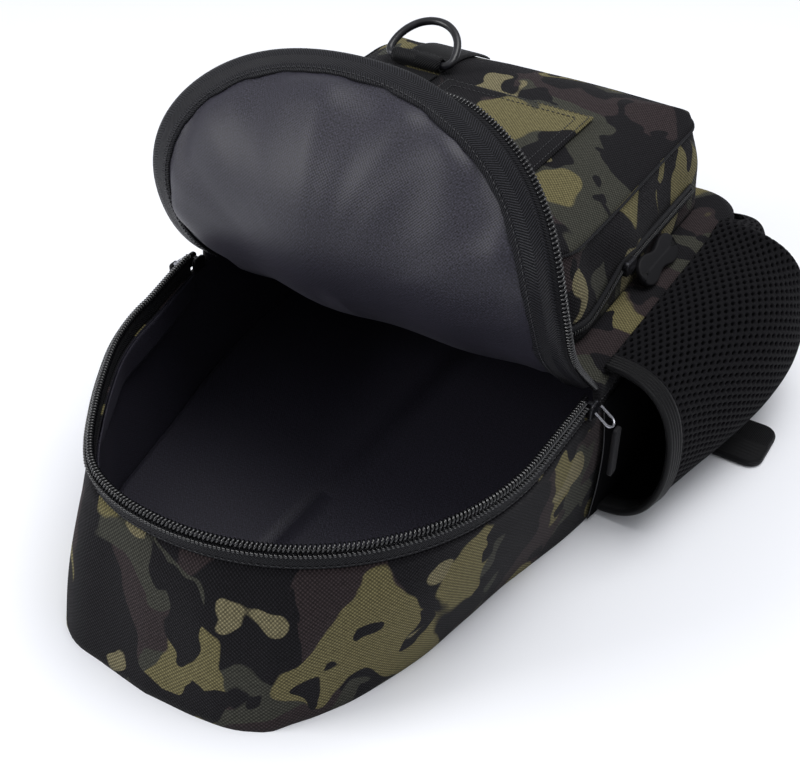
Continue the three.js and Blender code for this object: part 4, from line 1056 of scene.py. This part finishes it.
def arc(start, end, count, x, wide, high):
    """Points along an ellipse, from one angle to another, with its middle level with the ring's corners."""
    turn = np.radians(np.linspace(start, end, count))
    return np.stack([x + wide * np.cos(turn), ring_corner + high * np.sin(turn)], -1)


outline = np.concatenate([
    np.stack([np.linspace(-corner_x, corner_x, 10)[1:-1], np.zeros(8)], -1),
    arc(-90, 0, 9, corner_x, ring_corner, ring_corner),
    arc(0, 180, 41, 0, ring_half, ring_bow)[1:-1],
    arc(180, 270, 9, -corner_x, ring_corner, ring_corner),
])
lean = math.radians(ring_lean)
ring_y_line, ring_z_line = outline[:, 1] * math.cos(lean), outline[:, 1] * math.sin(lean)
ring_line = points(ring_x + outline[:, 0], ring_y + ring_y_line, ring_z + ring_z_line)
flatwise = points(0 * outline[:, 0], -math.sin(lean), math.cos(lean))
ring_piece = rod("ring_steel", ring_line, flatwise, ring_wire / 2, enamel, 16, ring=True)
dress(ring_piece, "steel", "d_ring", body="ring")

# Bottle pocket: black polyester spacer mesh, knitted with staggered oval holes about 5 mm apart over a
# close black ground. It bulges out from the bag's side, its mouth is drawn in by the elastic binding, and
# it is gathered down at its far end.
bottle_start, bottle_length, bottle_bulge, mesh_cloth = 11, 212, 59, 2.5
bottle_binding_width, tab_thickness = 12, 4.6
bottle_lift = seam + tab_thickness + seam
ways = [0, 0.15, 0.32, 0.5, 0.66, 0.8, 0.9, 1]
way_bulge = [0.63, 0.72, 0.86, 0.98, 1, 0.88, 0.6, 0.12]
way_drop, way_hold = [0, 0, 0, 0, 0, 0, 0.1, 0.2], [0, 0, 0, 0, 0, 0, 1, 1]


def bottle_rows(distances, turns):
    """The bottle pocket's outer face: sections at distances from the lid's fold, from the upper seam round
    to the lower one."""
    straight = foot_corner - fold
    on_side, on_corner = distances[distances <= straight], distances[distances > straight]
    turned_by = np.degrees((on_corner - straight) / foot_radius)
    places = join(side_station(fold + on_side), corner_station(turned_by))
    way = (distances - bottle_start) / bottle_length
    bulge, hold = bottle_bulge * curve(ways, way_bulge, way), curve(ways, way_hold, way)
    height = front_top + seam + mesh_cloth - bottle_lift
    top = bottle_lift + height * (1 - curve(ways, way_drop, way))
    middle, half = (top + bottle_lift) / 2, (top - bottle_lift) / 2
    outer_root = gusset_belly + mesh_cloth + seam
    top_root = (-cloth - seam) * (1 - hold) + outer_root * hold
    angle, share = np.radians(turns), turns / 180
    upper = top_root[:, None] + (outer_root - top_root)[:, None] * np.minimum(share * 2, 1)[None]
    root = upper + (seam * 4 - upper) * np.maximum(share * 2 - 1, 0)[None]
    out = root + (bulge[:, None] - root) * (np.abs(np.sin(angle)) ** 0.75)[None]
    rows = places["mouth"][:, None] + (places["base"] - places["mouth"])[:, None] * share[None, :, None]
    rows = rows + places["out"][:, None] * out[..., None]
    rows[..., 2] = middle[:, None] + half[:, None] * np.cos(angle)[None]
    return rows


bottle_steps, girth_steps = 150, 121
distances = np.linspace(bottle_start, bottle_start + bottle_length, bottle_steps)
sampled = bottle_rows(distances, np.linspace(0, 180, 181))
# Each section is measured round, so that the holes stay evenly spaced from seam to seam.
level = np.linspace(0, 1, girth_steps)
evened = np.empty((bottle_steps, girth_steps, 3))
for i, row in enumerate(sampled):
    run = lengths(row)
    for k in range(3):
        evened[i, :, k] = np.interp(level * run[-1], run, row[:, k])
# It sags unevenly, with one deep dent and a lip before it where it is gathered down.
ahead = ((distances - bottle_start) / bottle_length)[:, None]
sag = (
    0.9 * ripple(distances[:, None] / 24, level[None] * 7, 61)
    - 14.0 * np.exp(-(((ahead - 0.87) / 0.05) ** 2) - (((level - 0.19) / 0.1) ** 2))
    + 3.4 * np.exp(-(((ahead - 0.785) / 0.035) ** 2) - (((level - 0.22) / 0.16) ** 2))
    + 1.3 * ripple(level[None] * 30, distances[:, None] / 60, 67) * np.clip((ahead - 0.75) / 0.25, 0, 1)
) * np.sin(math.pi * level) ** 0.5


def face_normals(grid):
    """The way out of the pocket at each point of its face."""
    normal = np.cross(np.gradient(grid, axis=0), np.gradient(grid, axis=1))
    normal /= np.linalg.norm(normal, axis=-1)[..., None] + 1e-9
    return normal * np.sign(normal[75, 60, 0])


evened = evened + face_normals(evened) * sag[..., None]
normals = face_normals(evened)


def on_pocket(distance, share, off):
    """Points on the bottle pocket at a distance along and a share of the way round, and off its face."""
    u = np.clip((distance - bottle_start) / bottle_length, 0, 1) * (bottle_steps - 1.001)
    v = np.clip(share, 0, 1) * (girth_steps - 1.001)
    i, j = u.astype(int), v.astype(int)
    s, t = (u - i)[..., None], (v - j)[..., None]
    found = []
    for grid in (evened, normals):
        low = grid[i, j] * (1 - t) + grid[i, j + 1] * t
        high = grid[i + 1, j] * (1 - t) + grid[i + 1, j + 1] * t
        found.append(low * (1 - s) + high * s)
    return found[0] + found[1] * off


# Spacer mesh of black polyester: matt knitted ridges with a little fuzz, black in its holes. Its yarn is
# drawn 0.7 mm wide where it is really 0.3 mm.
spacer, tree, shader = new_material("polyester_spacer_mesh")
place = cloth_place(tree)
knit = crossing(tree, place, 0.0007, 0.8)
shade = put(tree, "ShaderNodeMix", {
    0: knit, 6: linear("050506"), 7: linear("141317"),
}, data_type="RGBA").outputs[2]
tree.links.new(shade, shader.inputs["Base Color"])
shader.inputs["Roughness"].default_value = 0.9
shader.inputs["Specular IOR Level"].default_value = 0.1
shader.inputs["Sheen Weight"].default_value = 0.02
raised = put(tree, "ShaderNodeBump", {"Height": knit, "Strength": 0.7, "Distance": 0.0003})
tree.links.new(raised.outputs["Normal"], shader.inputs["Normal"])
# Close ground of the mesh, seen through its holes: the same yarn, but painted near black, darker than the
# face's yarn, as painted shade inside the pocket.
ground, tree, shader = new_material("polyester_ground")
knit = crossing(tree, cloth_place(tree), 0.0005)
shade = put(tree, "ShaderNodeMix", {
    0: knit, 6: linear("020203"), 7: linear("09090b"),
}, data_type="RGBA").outputs[2]
tree.links.new(shade, shader.inputs["Base Color"])
shader.inputs["Roughness"].default_value = 0.95
shader.inputs["Specular IOR Level"].default_value = 0.05


def perforated(name, spot, span, girth, pitch, hole, deep):
    """Spacer mesh over a face: hexagonal cells, each with an oval hole. Spot gives a point from a length
    along, a share of the girth and a distance off the face."""
    columns, rows = int(round(span / (pitch * 0.87))), int(round(girth / pitch))
    a, b = span / columns, 1 / rows
    col, row = np.meshgrid(np.arange(columns + 1), np.arange(-1, rows + 1), indexing="ij")
    centre = np.stack([col * a, (row + 0.5 + 0.5 * (col % 2)) * b], -1).reshape(-1, 2)
    centre = centre[(centre[:, 1] > -0.4 * b) & (centre[:, 1] < 1 + 0.4 * b)]
    half_cell = [(2 / 3, 0), (1 / 2, 1 / 4), (1 / 3, 1 / 2), (0, 1 / 2), (-1 / 3, 1 / 2), (-1 / 2, 1 / 4)]
    cell = np.concatenate([half_cell, -np.array(half_cell)])
    angle = np.arctan2(cell[:, 1] * pitch, cell[:, 0] * a)
    oval = np.stack([np.cos(angle) * hole[0] / 2, np.sin(angle) * hole[1] / 2 / girth], -1)
    cell = cell * [a, b]
    verts, flats = [], []
    ridge = 0.45 * cell + 0.55 * oval * 1.12
    for shape, off in [(cell, 0.35), (ridge, 0.42), (oval, 0.0), (oval * 0.94, -deep)]:
        at = np.clip(centre[:, None] + shape, 0, [span, 1])
        verts.append(spot(at[..., 0], at[..., 1], off))
        flats.append(at * [1, girth])
    faces = tube_faces(len(centre), 4, 12)
    flats = np.stack(flats, 1).reshape(-1, 2)[faces]
    return mesh_piece(name, np.stack(verts, 1).reshape(-1, 3), faces, flats, [spacer], weld=True)


mesh_start = bottle_start + bottle_binding_width - 1
mesh_span = bottle_start + bottle_length - mesh_start
girth = float(lengths(evened[75])[-1])
mesh_pitch, mesh_hole, mesh_deep = 5.0, (3.5, 2.3), 1.3
knitted = perforated(
    "bottle_mesh", lambda along, share, off: on_pocket(along + mesh_start, share, off - 0.45),
    mesh_span, girth, mesh_pitch, mesh_hole, mesh_deep,
)
dress(knitted, "mesh", "bottle_pocket")
ground_run = np.linspace(bottle_start + 2, bottle_start + bottle_length, 80)
ground_grid = flat_grid(ground_run, np.linspace(0, 1, 60))
backing = [on_pocket(ground_grid[..., 0], ground_grid[..., 1], off) for off in (-1.7, -2.4)]
dress(fabric("bottle_ground", *backing, ground_grid * [1, girth], [ground, ground]), "mesh")
# Behind the pocket the gusset is faced with a plain black cloth, bound with a thin thread at the mouth.
# It takes the ground's near-black colour, which is painted darker as shade inside the pocket.
behind_side = side_station(np.linspace(fold + 3, foot_corner, 40)[:-1])
behind = join(behind_side, corner_station(np.linspace(0, 64, 10)))
behind_up = np.linspace(0.03, 0.985, 12)
behind_flat = flat_grid(lengths(behind["base"]), behind_up * gusset_height)
facing = wall(behind, behind_up, -1.9), wall(behind, behind_up, -1.4)
dress(fabric("pocket_facing", *facing, behind_flat, [ground, ground]), "mesh")
edge_line = wall(behind, np.linspace(0.05, 0.97, 40), -1.9)[0]
dress(rod("facing_edge", edge_line, points(np.ones(40), 0, 0), 0.35, thread, 6), "webbing")

# Binding of the bottle pocket's mouth: a ribbed elastic tape folded over the mesh's edge, with a rolled
# and slightly glossy lip, and painted highlights along its ribs' crowns.
elastic = black_woven("ribbed_elastic", "040405", "131316", 0.0011, 0.5, 0.38, 0.0002)
profile = [(11.9, 0.1), (11.2, 0.5)]
for rib in range(4):
    start = 10.3 - rib * 2.1
    profile += [(start, 1.0), (start - 0.7, 1.25), (start - 1.4, 0.9), (start - 1.8, 0.55)]
profile += [(1.9, 0.9), (1.2, 1.3), (0.4, 1.0), (-0.2, 0.2), (-0.3, -0.9), (0.2, -2.0), (1.2, -2.8)]
profile += [(3, -3.0), (8, -3.0), (11.9, -2.9)]
girth_shares = np.linspace(0, 1, 90)
lip, core = [], []
for distance, off in profile:
    at = np.full(90, bottle_start + max(distance, 0))
    lip.append(on_pocket(at, girth_shares, off) + [0, min(distance, 0), 0])
    at = np.full(90, bottle_start + max(distance, 0.6))
    core.append(on_pocket(at, girth_shares, -0.7))
lip_flat = flat_grid(girth_shares * girth, lengths(np.array(profile)))
lip = fabric("bottle_mouth_binding", np.stack(lip, 1), np.stack(core, 1), lip_flat, [elastic, elastic])
dress(lip, "webbing", "bottle_binding")

# Back pads: two long pads of foam under the spacer mesh, sewn to the back on either side of the channel
# for the strap. The bag lies on them, so they are flat below and only their edges are round.
pad_thickness, pad_margin, pad_length, pad_start, pad_corner, channel_play = 8, 40, 330, 62, 22, 4
strap_width, strap_thickness, strap_length, strap_start, strap_taper = 56, 7, 380, 26, 24


def rounded(width, length, radius, inset=0.0, bend=8, across=12):
    """Points round a rectangle with round corners, moved in by an inset, with the first again at the end."""
    radius = max(radius - inset, 0.3)
    return round_box(np.array([width, length]) / 2 - inset - radius, radius, across, bend)[0]


def slab(name, outline, thick, soft, place, axes, material):
    """A plate or pad with rounded edges: outline gives its edge at an inset. The axes are those of its
    width, length and thickness."""
    base, last = outline(0.0), outline(soft)
    centre, extent = (base.max(0) + base.min(0)) / 2, (base.max(0) - base.min(0)) / 2
    rings = [(0.0, thick / 2)]
    for turn in np.radians([10, 30, 50, 70, 90]):
        rings.append((soft * (1 - math.cos(turn)), thick - soft * (1 - math.sin(turn))))
    upper = [np.column_stack([outline(inset), np.full(len(base), height)]) for inset, height in rings]
    spine = np.maximum(extent - extent[::-1], 0)
    target = np.clip(last - centre, -spine, spine) + centre
    for share in (0.06, 0.16, 0.34, 0.6, 0.85, 1):
        upper.append(np.column_stack([last + (target - last) * share, np.full(len(last), thick)]))
    upper = np.stack(upper, 1)
    flat = upper[..., :2].copy()
    spread = flat[:, :6] - centre
    spread /= np.linalg.norm(spread, axis=-1)[..., None] + 1e-6
    flat[:, :6] += spread * (thick - upper[:, :6, 2:3])
    lower = upper * [1, 1, -1] + [0, 0, thick]
    faces = [np.asarray(place, float) + grid @ np.asarray(axes, float) for grid in (upper, lower)]
    return fabric(name, *faces, flat, [material, material], ring=True, weld=True)


pad_inner = strap_width / 2 + channel_play
pad_width = half_body - pad_margin - pad_inner
pad_middle = top_end + pad_start + pad_length / 2
flat_axes = ((1, 0, 0), (0, 1, 0), (0, 0, 1))
for side, name in ((-1, "left"), (1, "right")):
    pad = slab(
        f"{name}_pad_foam", lambda inset: rounded(pad_width, pad_length, pad_corner, inset),
        pad_thickness - 0.2, 3.6, (side * (pad_inner + pad_width / 2), pad_middle, 0.1), flat_axes, spacer,
    )
    dress(pad, "mesh", f"{name}_back_pad")

# Sling strap: a long pad of foam between spacer mesh and webbing, sewn into the back at the top end. Here
# it lies in its channel under the bag, and its belt comes out at the foot.
strap_top = top_end + strap_start
strap_end = strap_top + strap_length
belt_width, belt_thickness, anchor_length = 38, 2.4, 14


def strap_outline(inset):
    """The padded strap's edge, with both ends tapered to the belt's width."""
    half, long, narrow = strap_width / 2 - inset, strap_length / 2 - inset, belt_width / 2 - inset
    corners = [
        (narrow, -long), (half, -long + strap_taper), (half, long - strap_taper), (narrow, long),
        (-narrow, long), (-half, long - strap_taper), (-half, -long + strap_taper), (-narrow, -long),
    ]
    line = []
    for k, start in enumerate(corners):
        end = corners[(k + 1) % 8]
        share = np.linspace(0, 1, 14 if k in (1, 5) else 5)[:-1, None]
        line.append(np.array(start) + (np.array(end) - start) * share)
    return np.concatenate(line + [np.array([corners[0]])])


strap = slab(
    "sling_pad", strap_outline, strap_thickness - 0.2, 3.2,
    (0, strap_top + strap_length / 2, 0.1), flat_axes, spacer,
)
dress(strap, "mesh", "strap_pad")
anchor = slab(
    "sling_anchor", lambda inset: rounded(belt_width, anchor_length, 1.5, inset), strap_thickness - 0.2, 1.2,
    (0, strap_top - seam - anchor_length / 2, 0.1), flat_axes, webbing,
)
dress(anchor, "webbing", "strap_anchor")

# Belt of the strap: 38 mm polypropylene webbing. It lies flat under the foot, stands up on its edge, goes
# round behind the foot and lies down again to its glide.
belt_radius, belt_twist, foot_tab_length = 45, 46, 18
glide_bar, glide_slot, glide_margin, glide_stem = 4, 9, 5, 18
glide_x, glide_step = -belt_radius * 2, glide_slot + glide_bar
glide_near = foot_end + seam * 2 + foot_tab_length
glide_far = glide_near + glide_step
turn_y = glide_far + glide_stem + seam + belt_twist
turns = np.radians(np.linspace(0, 180, 41))
twisting = np.linspace(turn_y - belt_twist, turn_y, 14)
belt_line = np.concatenate([
    points(0, np.linspace(strap_end + seam, twisting[0], 30), 0),
    points(0, twisting[1:], 0),
    points(belt_radius * (np.cos(turns) - 1), turn_y + belt_radius * np.sin(turns), 0)[1:],
    points(glide_x, twisting[::-1][1:], 0),
])
way = unit(np.gradient(belt_line, axis=0))
outward, up = points(way[:, 1], -way[:, 0], 0), np.array([0, 0, 1])
roll = (math.pi / 2 * np.clip(1 - (turn_y - belt_line[:, 1]) / belt_twist, 0, 1))[:, None]
belt_rise = seam + belt_width / 2 * np.sin(roll) + belt_thickness / 2 * np.cos(roll)
belt_middle = (belt_line + up * belt_rise)[:, None]
across = (outward * np.cos(roll) + up * np.sin(roll))[:, None]
face = (up * np.cos(roll) - outward * np.sin(roll))[:, None]
spread = np.linspace(-belt_width / 2, belt_width / 2, 16)[:, None]
half = belt_thickness / 2 * (0.5 + 0.45 * (1 - np.exp((np.abs(spread) - belt_width / 2) / 0.8)))
faces = [belt_middle + across * spread + face * half * sign for sign in (1, -1)]
belt_flat = flat_grid(lengths(belt_line), spread[:, 0])
dress(fabric("sling_belt", *faces, belt_flat, [webbing, webbing]), "webbing", "strap_belt")
bar = glide_bar * math.sqrt(2)
glide_z = seam + bar / 2 + ring_play + belt_thickness
for name, stem, y, towards, node in [
    ("belt_fold", glide_stem, glide_far, 1, "belt_end"),
    ("foot_loop", foot_tab_length, glide_near, -1, "foot_tab"),
]:
    folded_loop(name, bar, belt_thickness, belt_width, stem, (glide_x, y, glide_z), towards, node)

# Side tab: the end of a strap's webbing, doubled and sewn into the gusset's lower seam, under the bottle
# pocket.
tab_width, tab_reach, tab_place, tab_corner = 38, 64, 92, 9
tab_middle = (half_body + seam * 2 + tab_reach / 2, fold + tab_place + tab_width / 2, seam)
tab = slab(
    "side_strap_tab", lambda inset: rounded(tab_reach, tab_width, tab_corner, inset), tab_thickness, 1.6,
    tab_middle, flat_axes, webbing,
)
dress(tab, "webbing", "side_tab")

# Glide of the belt: one moulding of black acetal with three slots, rounded along every edge.
acetal, tree, shader = new_material("moulded_acetal")
place = cloth_place(tree)
grain = put(tree, "ShaderNodeTexNoise", {"Vector": place, "Scale": 2400.0, "Detail": 2.0}).outputs["Fac"]
shade = put(tree, "ShaderNodeMix", {
    0: grain, 6: linear("101013"), 7: linear("1b1b1f"),
}, data_type="RGBA").outputs[2]
tree.links.new(shade, shader.inputs["Base Color"])
spread = put(tree, "ShaderNodeMapRange", {"Value": grain, "To Min": 0.38, "To Max": 0.55}).outputs["Result"]
tree.links.new(spread, shader.inputs["Roughness"])
raised = put(tree, "ShaderNodeBump", {"Height": grain, "Strength": 0.2, "Distance": 0.00005})
tree.links.new(raised.outputs["Normal"], shader.inputs["Normal"])


def ways_out(outline):
    """The way out of a closed outline at each of its points, of which the last is the first again."""
    way = np.roll(outline[:-1], -1, 0) - np.roll(outline[:-1], 1, 0)
    out = unit(np.stack([way[:, 1], -way[:, 0]], -1))
    return np.concatenate([out, out[:1]])


def frame_ring(name, outer, inner, thick, soft, place, material):
    """A flat frame between two outlines with the same count of points, with its edges rounded."""
    turns = np.radians(np.linspace(0, 90, 5))
    section = [(soft * (1 - math.cos(t)), soft * (1 - math.sin(t))) for t in turns[::-1]]
    section += [(soft * (1 - math.cos(t)), thick - soft * (1 - math.sin(t))) for t in turns]
    rows = []
    for outline, sign in ((outer, 1), (inner, -1)):
        for inset, height in section[::sign]:
            line = outline - ways_out(outline) * inset * sign
            rows.append(np.column_stack([line, np.full(len(line), height)]))
    grid = np.stack(rows + rows[:1], 1)
    flat = flat_grid(lengths(outer), lengths(grid[0]))
    return tube(name, np.asarray(place, float) + grid, flat, material, ring=True)


glide_width, glide_length = belt_width + glide_margin * 2, glide_slot * 3 + glide_bar * 4
glide_place = (glide_x, (glide_near + glide_far) / 2, glide_z - glide_bar / 2 + 0.1)
slot_width = belt_width + seam * 4
for number, y in enumerate((-glide_step, 0, glide_step)):
    low = -glide_length / 2 if number == 0 else y - glide_step / 2
    high = glide_length / 2 if number == 2 else y + glide_step / 2
    corner = 0.4 if number == 1 else 2.2
    edge = rounded(glide_width, high - low, corner, bend=4, across=6) + [0, (low + high) / 2]
    hole = rounded(slot_width, glide_slot, 1.2, bend=4, across=6) + [0, y]
    part = frame_ring(f"glide_frame_{number}", edge, hole, glide_bar - 0.2, 0.9, glide_place, acetal)
    dress(part, "nylon", *(["belt_glide"] if number == 0 else []))

# Main zip's sliders: die-cast zinc with black lacquer, two plates round a wedge, with a bridge on the outer
# plate. The lacquer is rubbed down to grey metal on the edges.
lacquer, tree, shader = new_material("lacquered_zinc")
place = cloth_place(tree)
wear = put(tree, "ShaderNodeTexNoise", {"Vector": place, "Scale": 700.0, "Detail": 3.0}).outputs["Fac"]
rubbed = put(tree, "ShaderNodeMapRange", {"Value": wear, "From Min": 0.52, "From Max": 0.7}).outputs["Result"]
shade = put(tree, "ShaderNodeMix", {
    0: rubbed, 6: linear("131316"), 7: linear("4a4a52"),
}, data_type="RGBA").outputs[2]
tree.links.new(shade, shader.inputs["Base Color"])
shader.inputs["Metallic"].default_value = 0.6
spread = put(tree, "ShaderNodeMapRange", {"Value": wear, "To Min": 0.22, "To Max": 0.45}).outputs["Result"]
tree.links.new(spread, shader.inputs["Roughness"])
# Nickel-plated wire of the pulls: bright and smooth, with a little dust.
nickel, tree, shader = new_material("nickel_plate")
place = cloth_place(tree)
wear = put(tree, "ShaderNodeTexNoise", {"Vector": place, "Scale": 900.0, "Detail": 2.0}).outputs["Fac"]
shade = put(tree, "ShaderNodeMix", {
    0: wear, 6: linear("77777d"), 7: linear("b4b4ba"),
}, data_type="RGBA").outputs[2]
tree.links.new(shade, shader.inputs["Base Color"])
shader.inputs["Metallic"].default_value = 1.0
spread = put(tree, "ShaderNodeMapRange", {"Value": wear, "To Min": 0.15, "To Max": 0.35}).outputs["Result"]
tree.links.new(spread, shader.inputs["Roughness"])
# Soft rubber of the pulls and the grip: matt, with a faint bloom.
rubber, tree, shader = new_material("moulded_rubber")
place = cloth_place(tree)
bloom = put(tree, "ShaderNodeTexNoise", {"Vector": place, "Scale": 260.0, "Detail": 3.0}).outputs["Fac"]
shade = put(tree, "ShaderNodeMix", {
    0: bloom, 6: linear("0a0a0c"), 7: linear("141317"),
}, data_type="RGBA").outputs[2]
tree.links.new(shade, shader.inputs["Base Color"])
spread = put(tree, "ShaderNodeMapRange", {"Value": bloom, "To Min": 0.55, "To Max": 0.75}).outputs["Result"]
tree.links.new(spread, shader.inputs["Roughness"])
shader.inputs["Specular IOR Level"].default_value = 0.2

pull_wire, pull_reach, pull_length, pull_width, pull_thickness = 1.6, 12, 30, 7, 2.6
slider_y = fold - slider_clear - slider_length / 2
for side, name in ((-1, "left"), (1, "right")):
    places = side_station([slider_y])
    if side < 0:
        places = left_of(places)
    face = places["mouth"][0, 0] - side * 1.5
    upright = ((0, 1, 0), (0, 0, 1), (side, 0, 0))
    middle = np.array([face - side * slider_width / 2, slider_y, rim_base + slider_width / 2])
    plates = ("outer_plate", slider_width - 2.3, [f"{name}_slider"]), ("inner_plate", 0.3, [])
    for part, deep, node in plates:
        plate = slab(
            f"{name}_{part}", lambda inset: rounded(slider_length, slider_width - 0.4, 2.4, inset), 2.1, 0.7,
            middle + [side * deep, 0, 0], upright, lacquer,
        )
        dress(plate, "steel", *node)
    wedge = slab(
        f"{name}_wedge", lambda inset: rounded(3.0, 5.5, 1.2, inset), slider_width - 3.2, 0.3,
        middle + [side * 1.6, 1.8, 0], upright, lacquer,
    )
    dress(wedge, "steel")
    root = np.array([face + side * (slider_width / 2 + seam), slider_y, rim_base + tape_height * 0.7])
    wire_out = np.array([side * 0.8, 0, -0.6])
    half_wire = (slider_length - pull_wire * 2) / 2
    turn = np.radians(np.linspace(180, 0, 25))
    bow = [(-half_wire, s) for s in np.linspace(pull_wire / 2, pull_reach - half_wire, 8)[:-1]]
    bow += list(zip(half_wire * np.cos(turn), pull_reach - half_wire + half_wire * np.sin(turn)))
    bow += [(half_wire, s) for s in np.linspace(pull_reach - half_wire, pull_wire / 2, 8)[1:]]
    wire_line = np.array([root + [0, y, 0] + wire_out * v for y, v in bow])
    normal = np.cross([0, 1, 0], wire_out)
    wire = rod(f"{name}_wire", wire_line, np.repeat(normal[None], len(bow), 0), pull_wire / 2, nickel, 10)
    dress(wire, "steel", f"{name}_pull_wire")
    tip = root + wire_out * (pull_reach + pull_wire / 2 + seam)
    pull = slab(
        f"{name}_moulded_pull", lambda inset: rounded(pull_width, pull_length, 2, inset), pull_thickness, 0.8,
        tip - [0, 0, pull_length / 2], upright, rubber,
    )
    dress(pull, "rubber", f"{name}_pull")

# Front pocket's slider and its grip: the slider is of the same lacquered zinc, and the grip of soft black
# rubber, moulded with a waist for the fingers.
grip_length, grip_width, grip_thickness = 46, 17, 3.4
grip_slider, grip_rise = fold + grip_place, chain_rise + chain_climb
grip_flare = pocket_flare * float(curve(flare_shares, flare_values, grip_rise / pocket_height))
slider_piece = slab(
    "pocket_slider_body",
    lambda inset: rounded(slider_width - 0.4, slider_length * 1.3, 2.6, inset), 3.4, 0.9,
    (pocket_right + grip_flare + 2 + seam, grip_slider, pocket_base + grip_rise),
    ((0, 0, 1), (0, 1, 0), (1, 0, 0)), lacquer,
)
dress(slider_piece, "steel", "pocket_slider")
grip_half, grip_tilt = grip_width / 2, math.radians(52)
grip_shares = [0, 0.03, 0.1, 0.22, 0.5, 0.78, 0.9, 0.97, 1]
grip_widths = [0.3, 0.6, 0.88, 1, 0.68, 1, 0.88, 0.6, 0.3]


def grip_outline(inset):
    """The grip's edge: round at both ends, with a waist halfway."""
    along = (1 - np.cos(np.linspace(0, math.pi, 33))) / 2
    right = np.stack([grip_half * curve(grip_shares, grip_widths, along), grip_length * along], -1)
    line = np.concatenate([right, (right * [-1, 1])[::-1], right[:1]])
    return line - ways_out(line) * inset


grip_foot = np.array([
    pocket_right + pocket_flare + grip_half * math.cos(grip_tilt) + seam,
    grip_slider + slider_length * 0.65 + seam,
    pocket_base + grip_half * math.sin(grip_tilt),
])
cos_tilt, sin_tilt = math.cos(grip_tilt), math.sin(grip_tilt)
grip = slab(
    "rubber_grip", grip_outline, grip_thickness, 1.1, grip_foot,
    ((cos_tilt, 0, -sin_tilt), (0, 1, 0), (sin_tilt, 0, cos_tilt)), rubber,
)
dress(grip, "rubber", "pocket_grip")
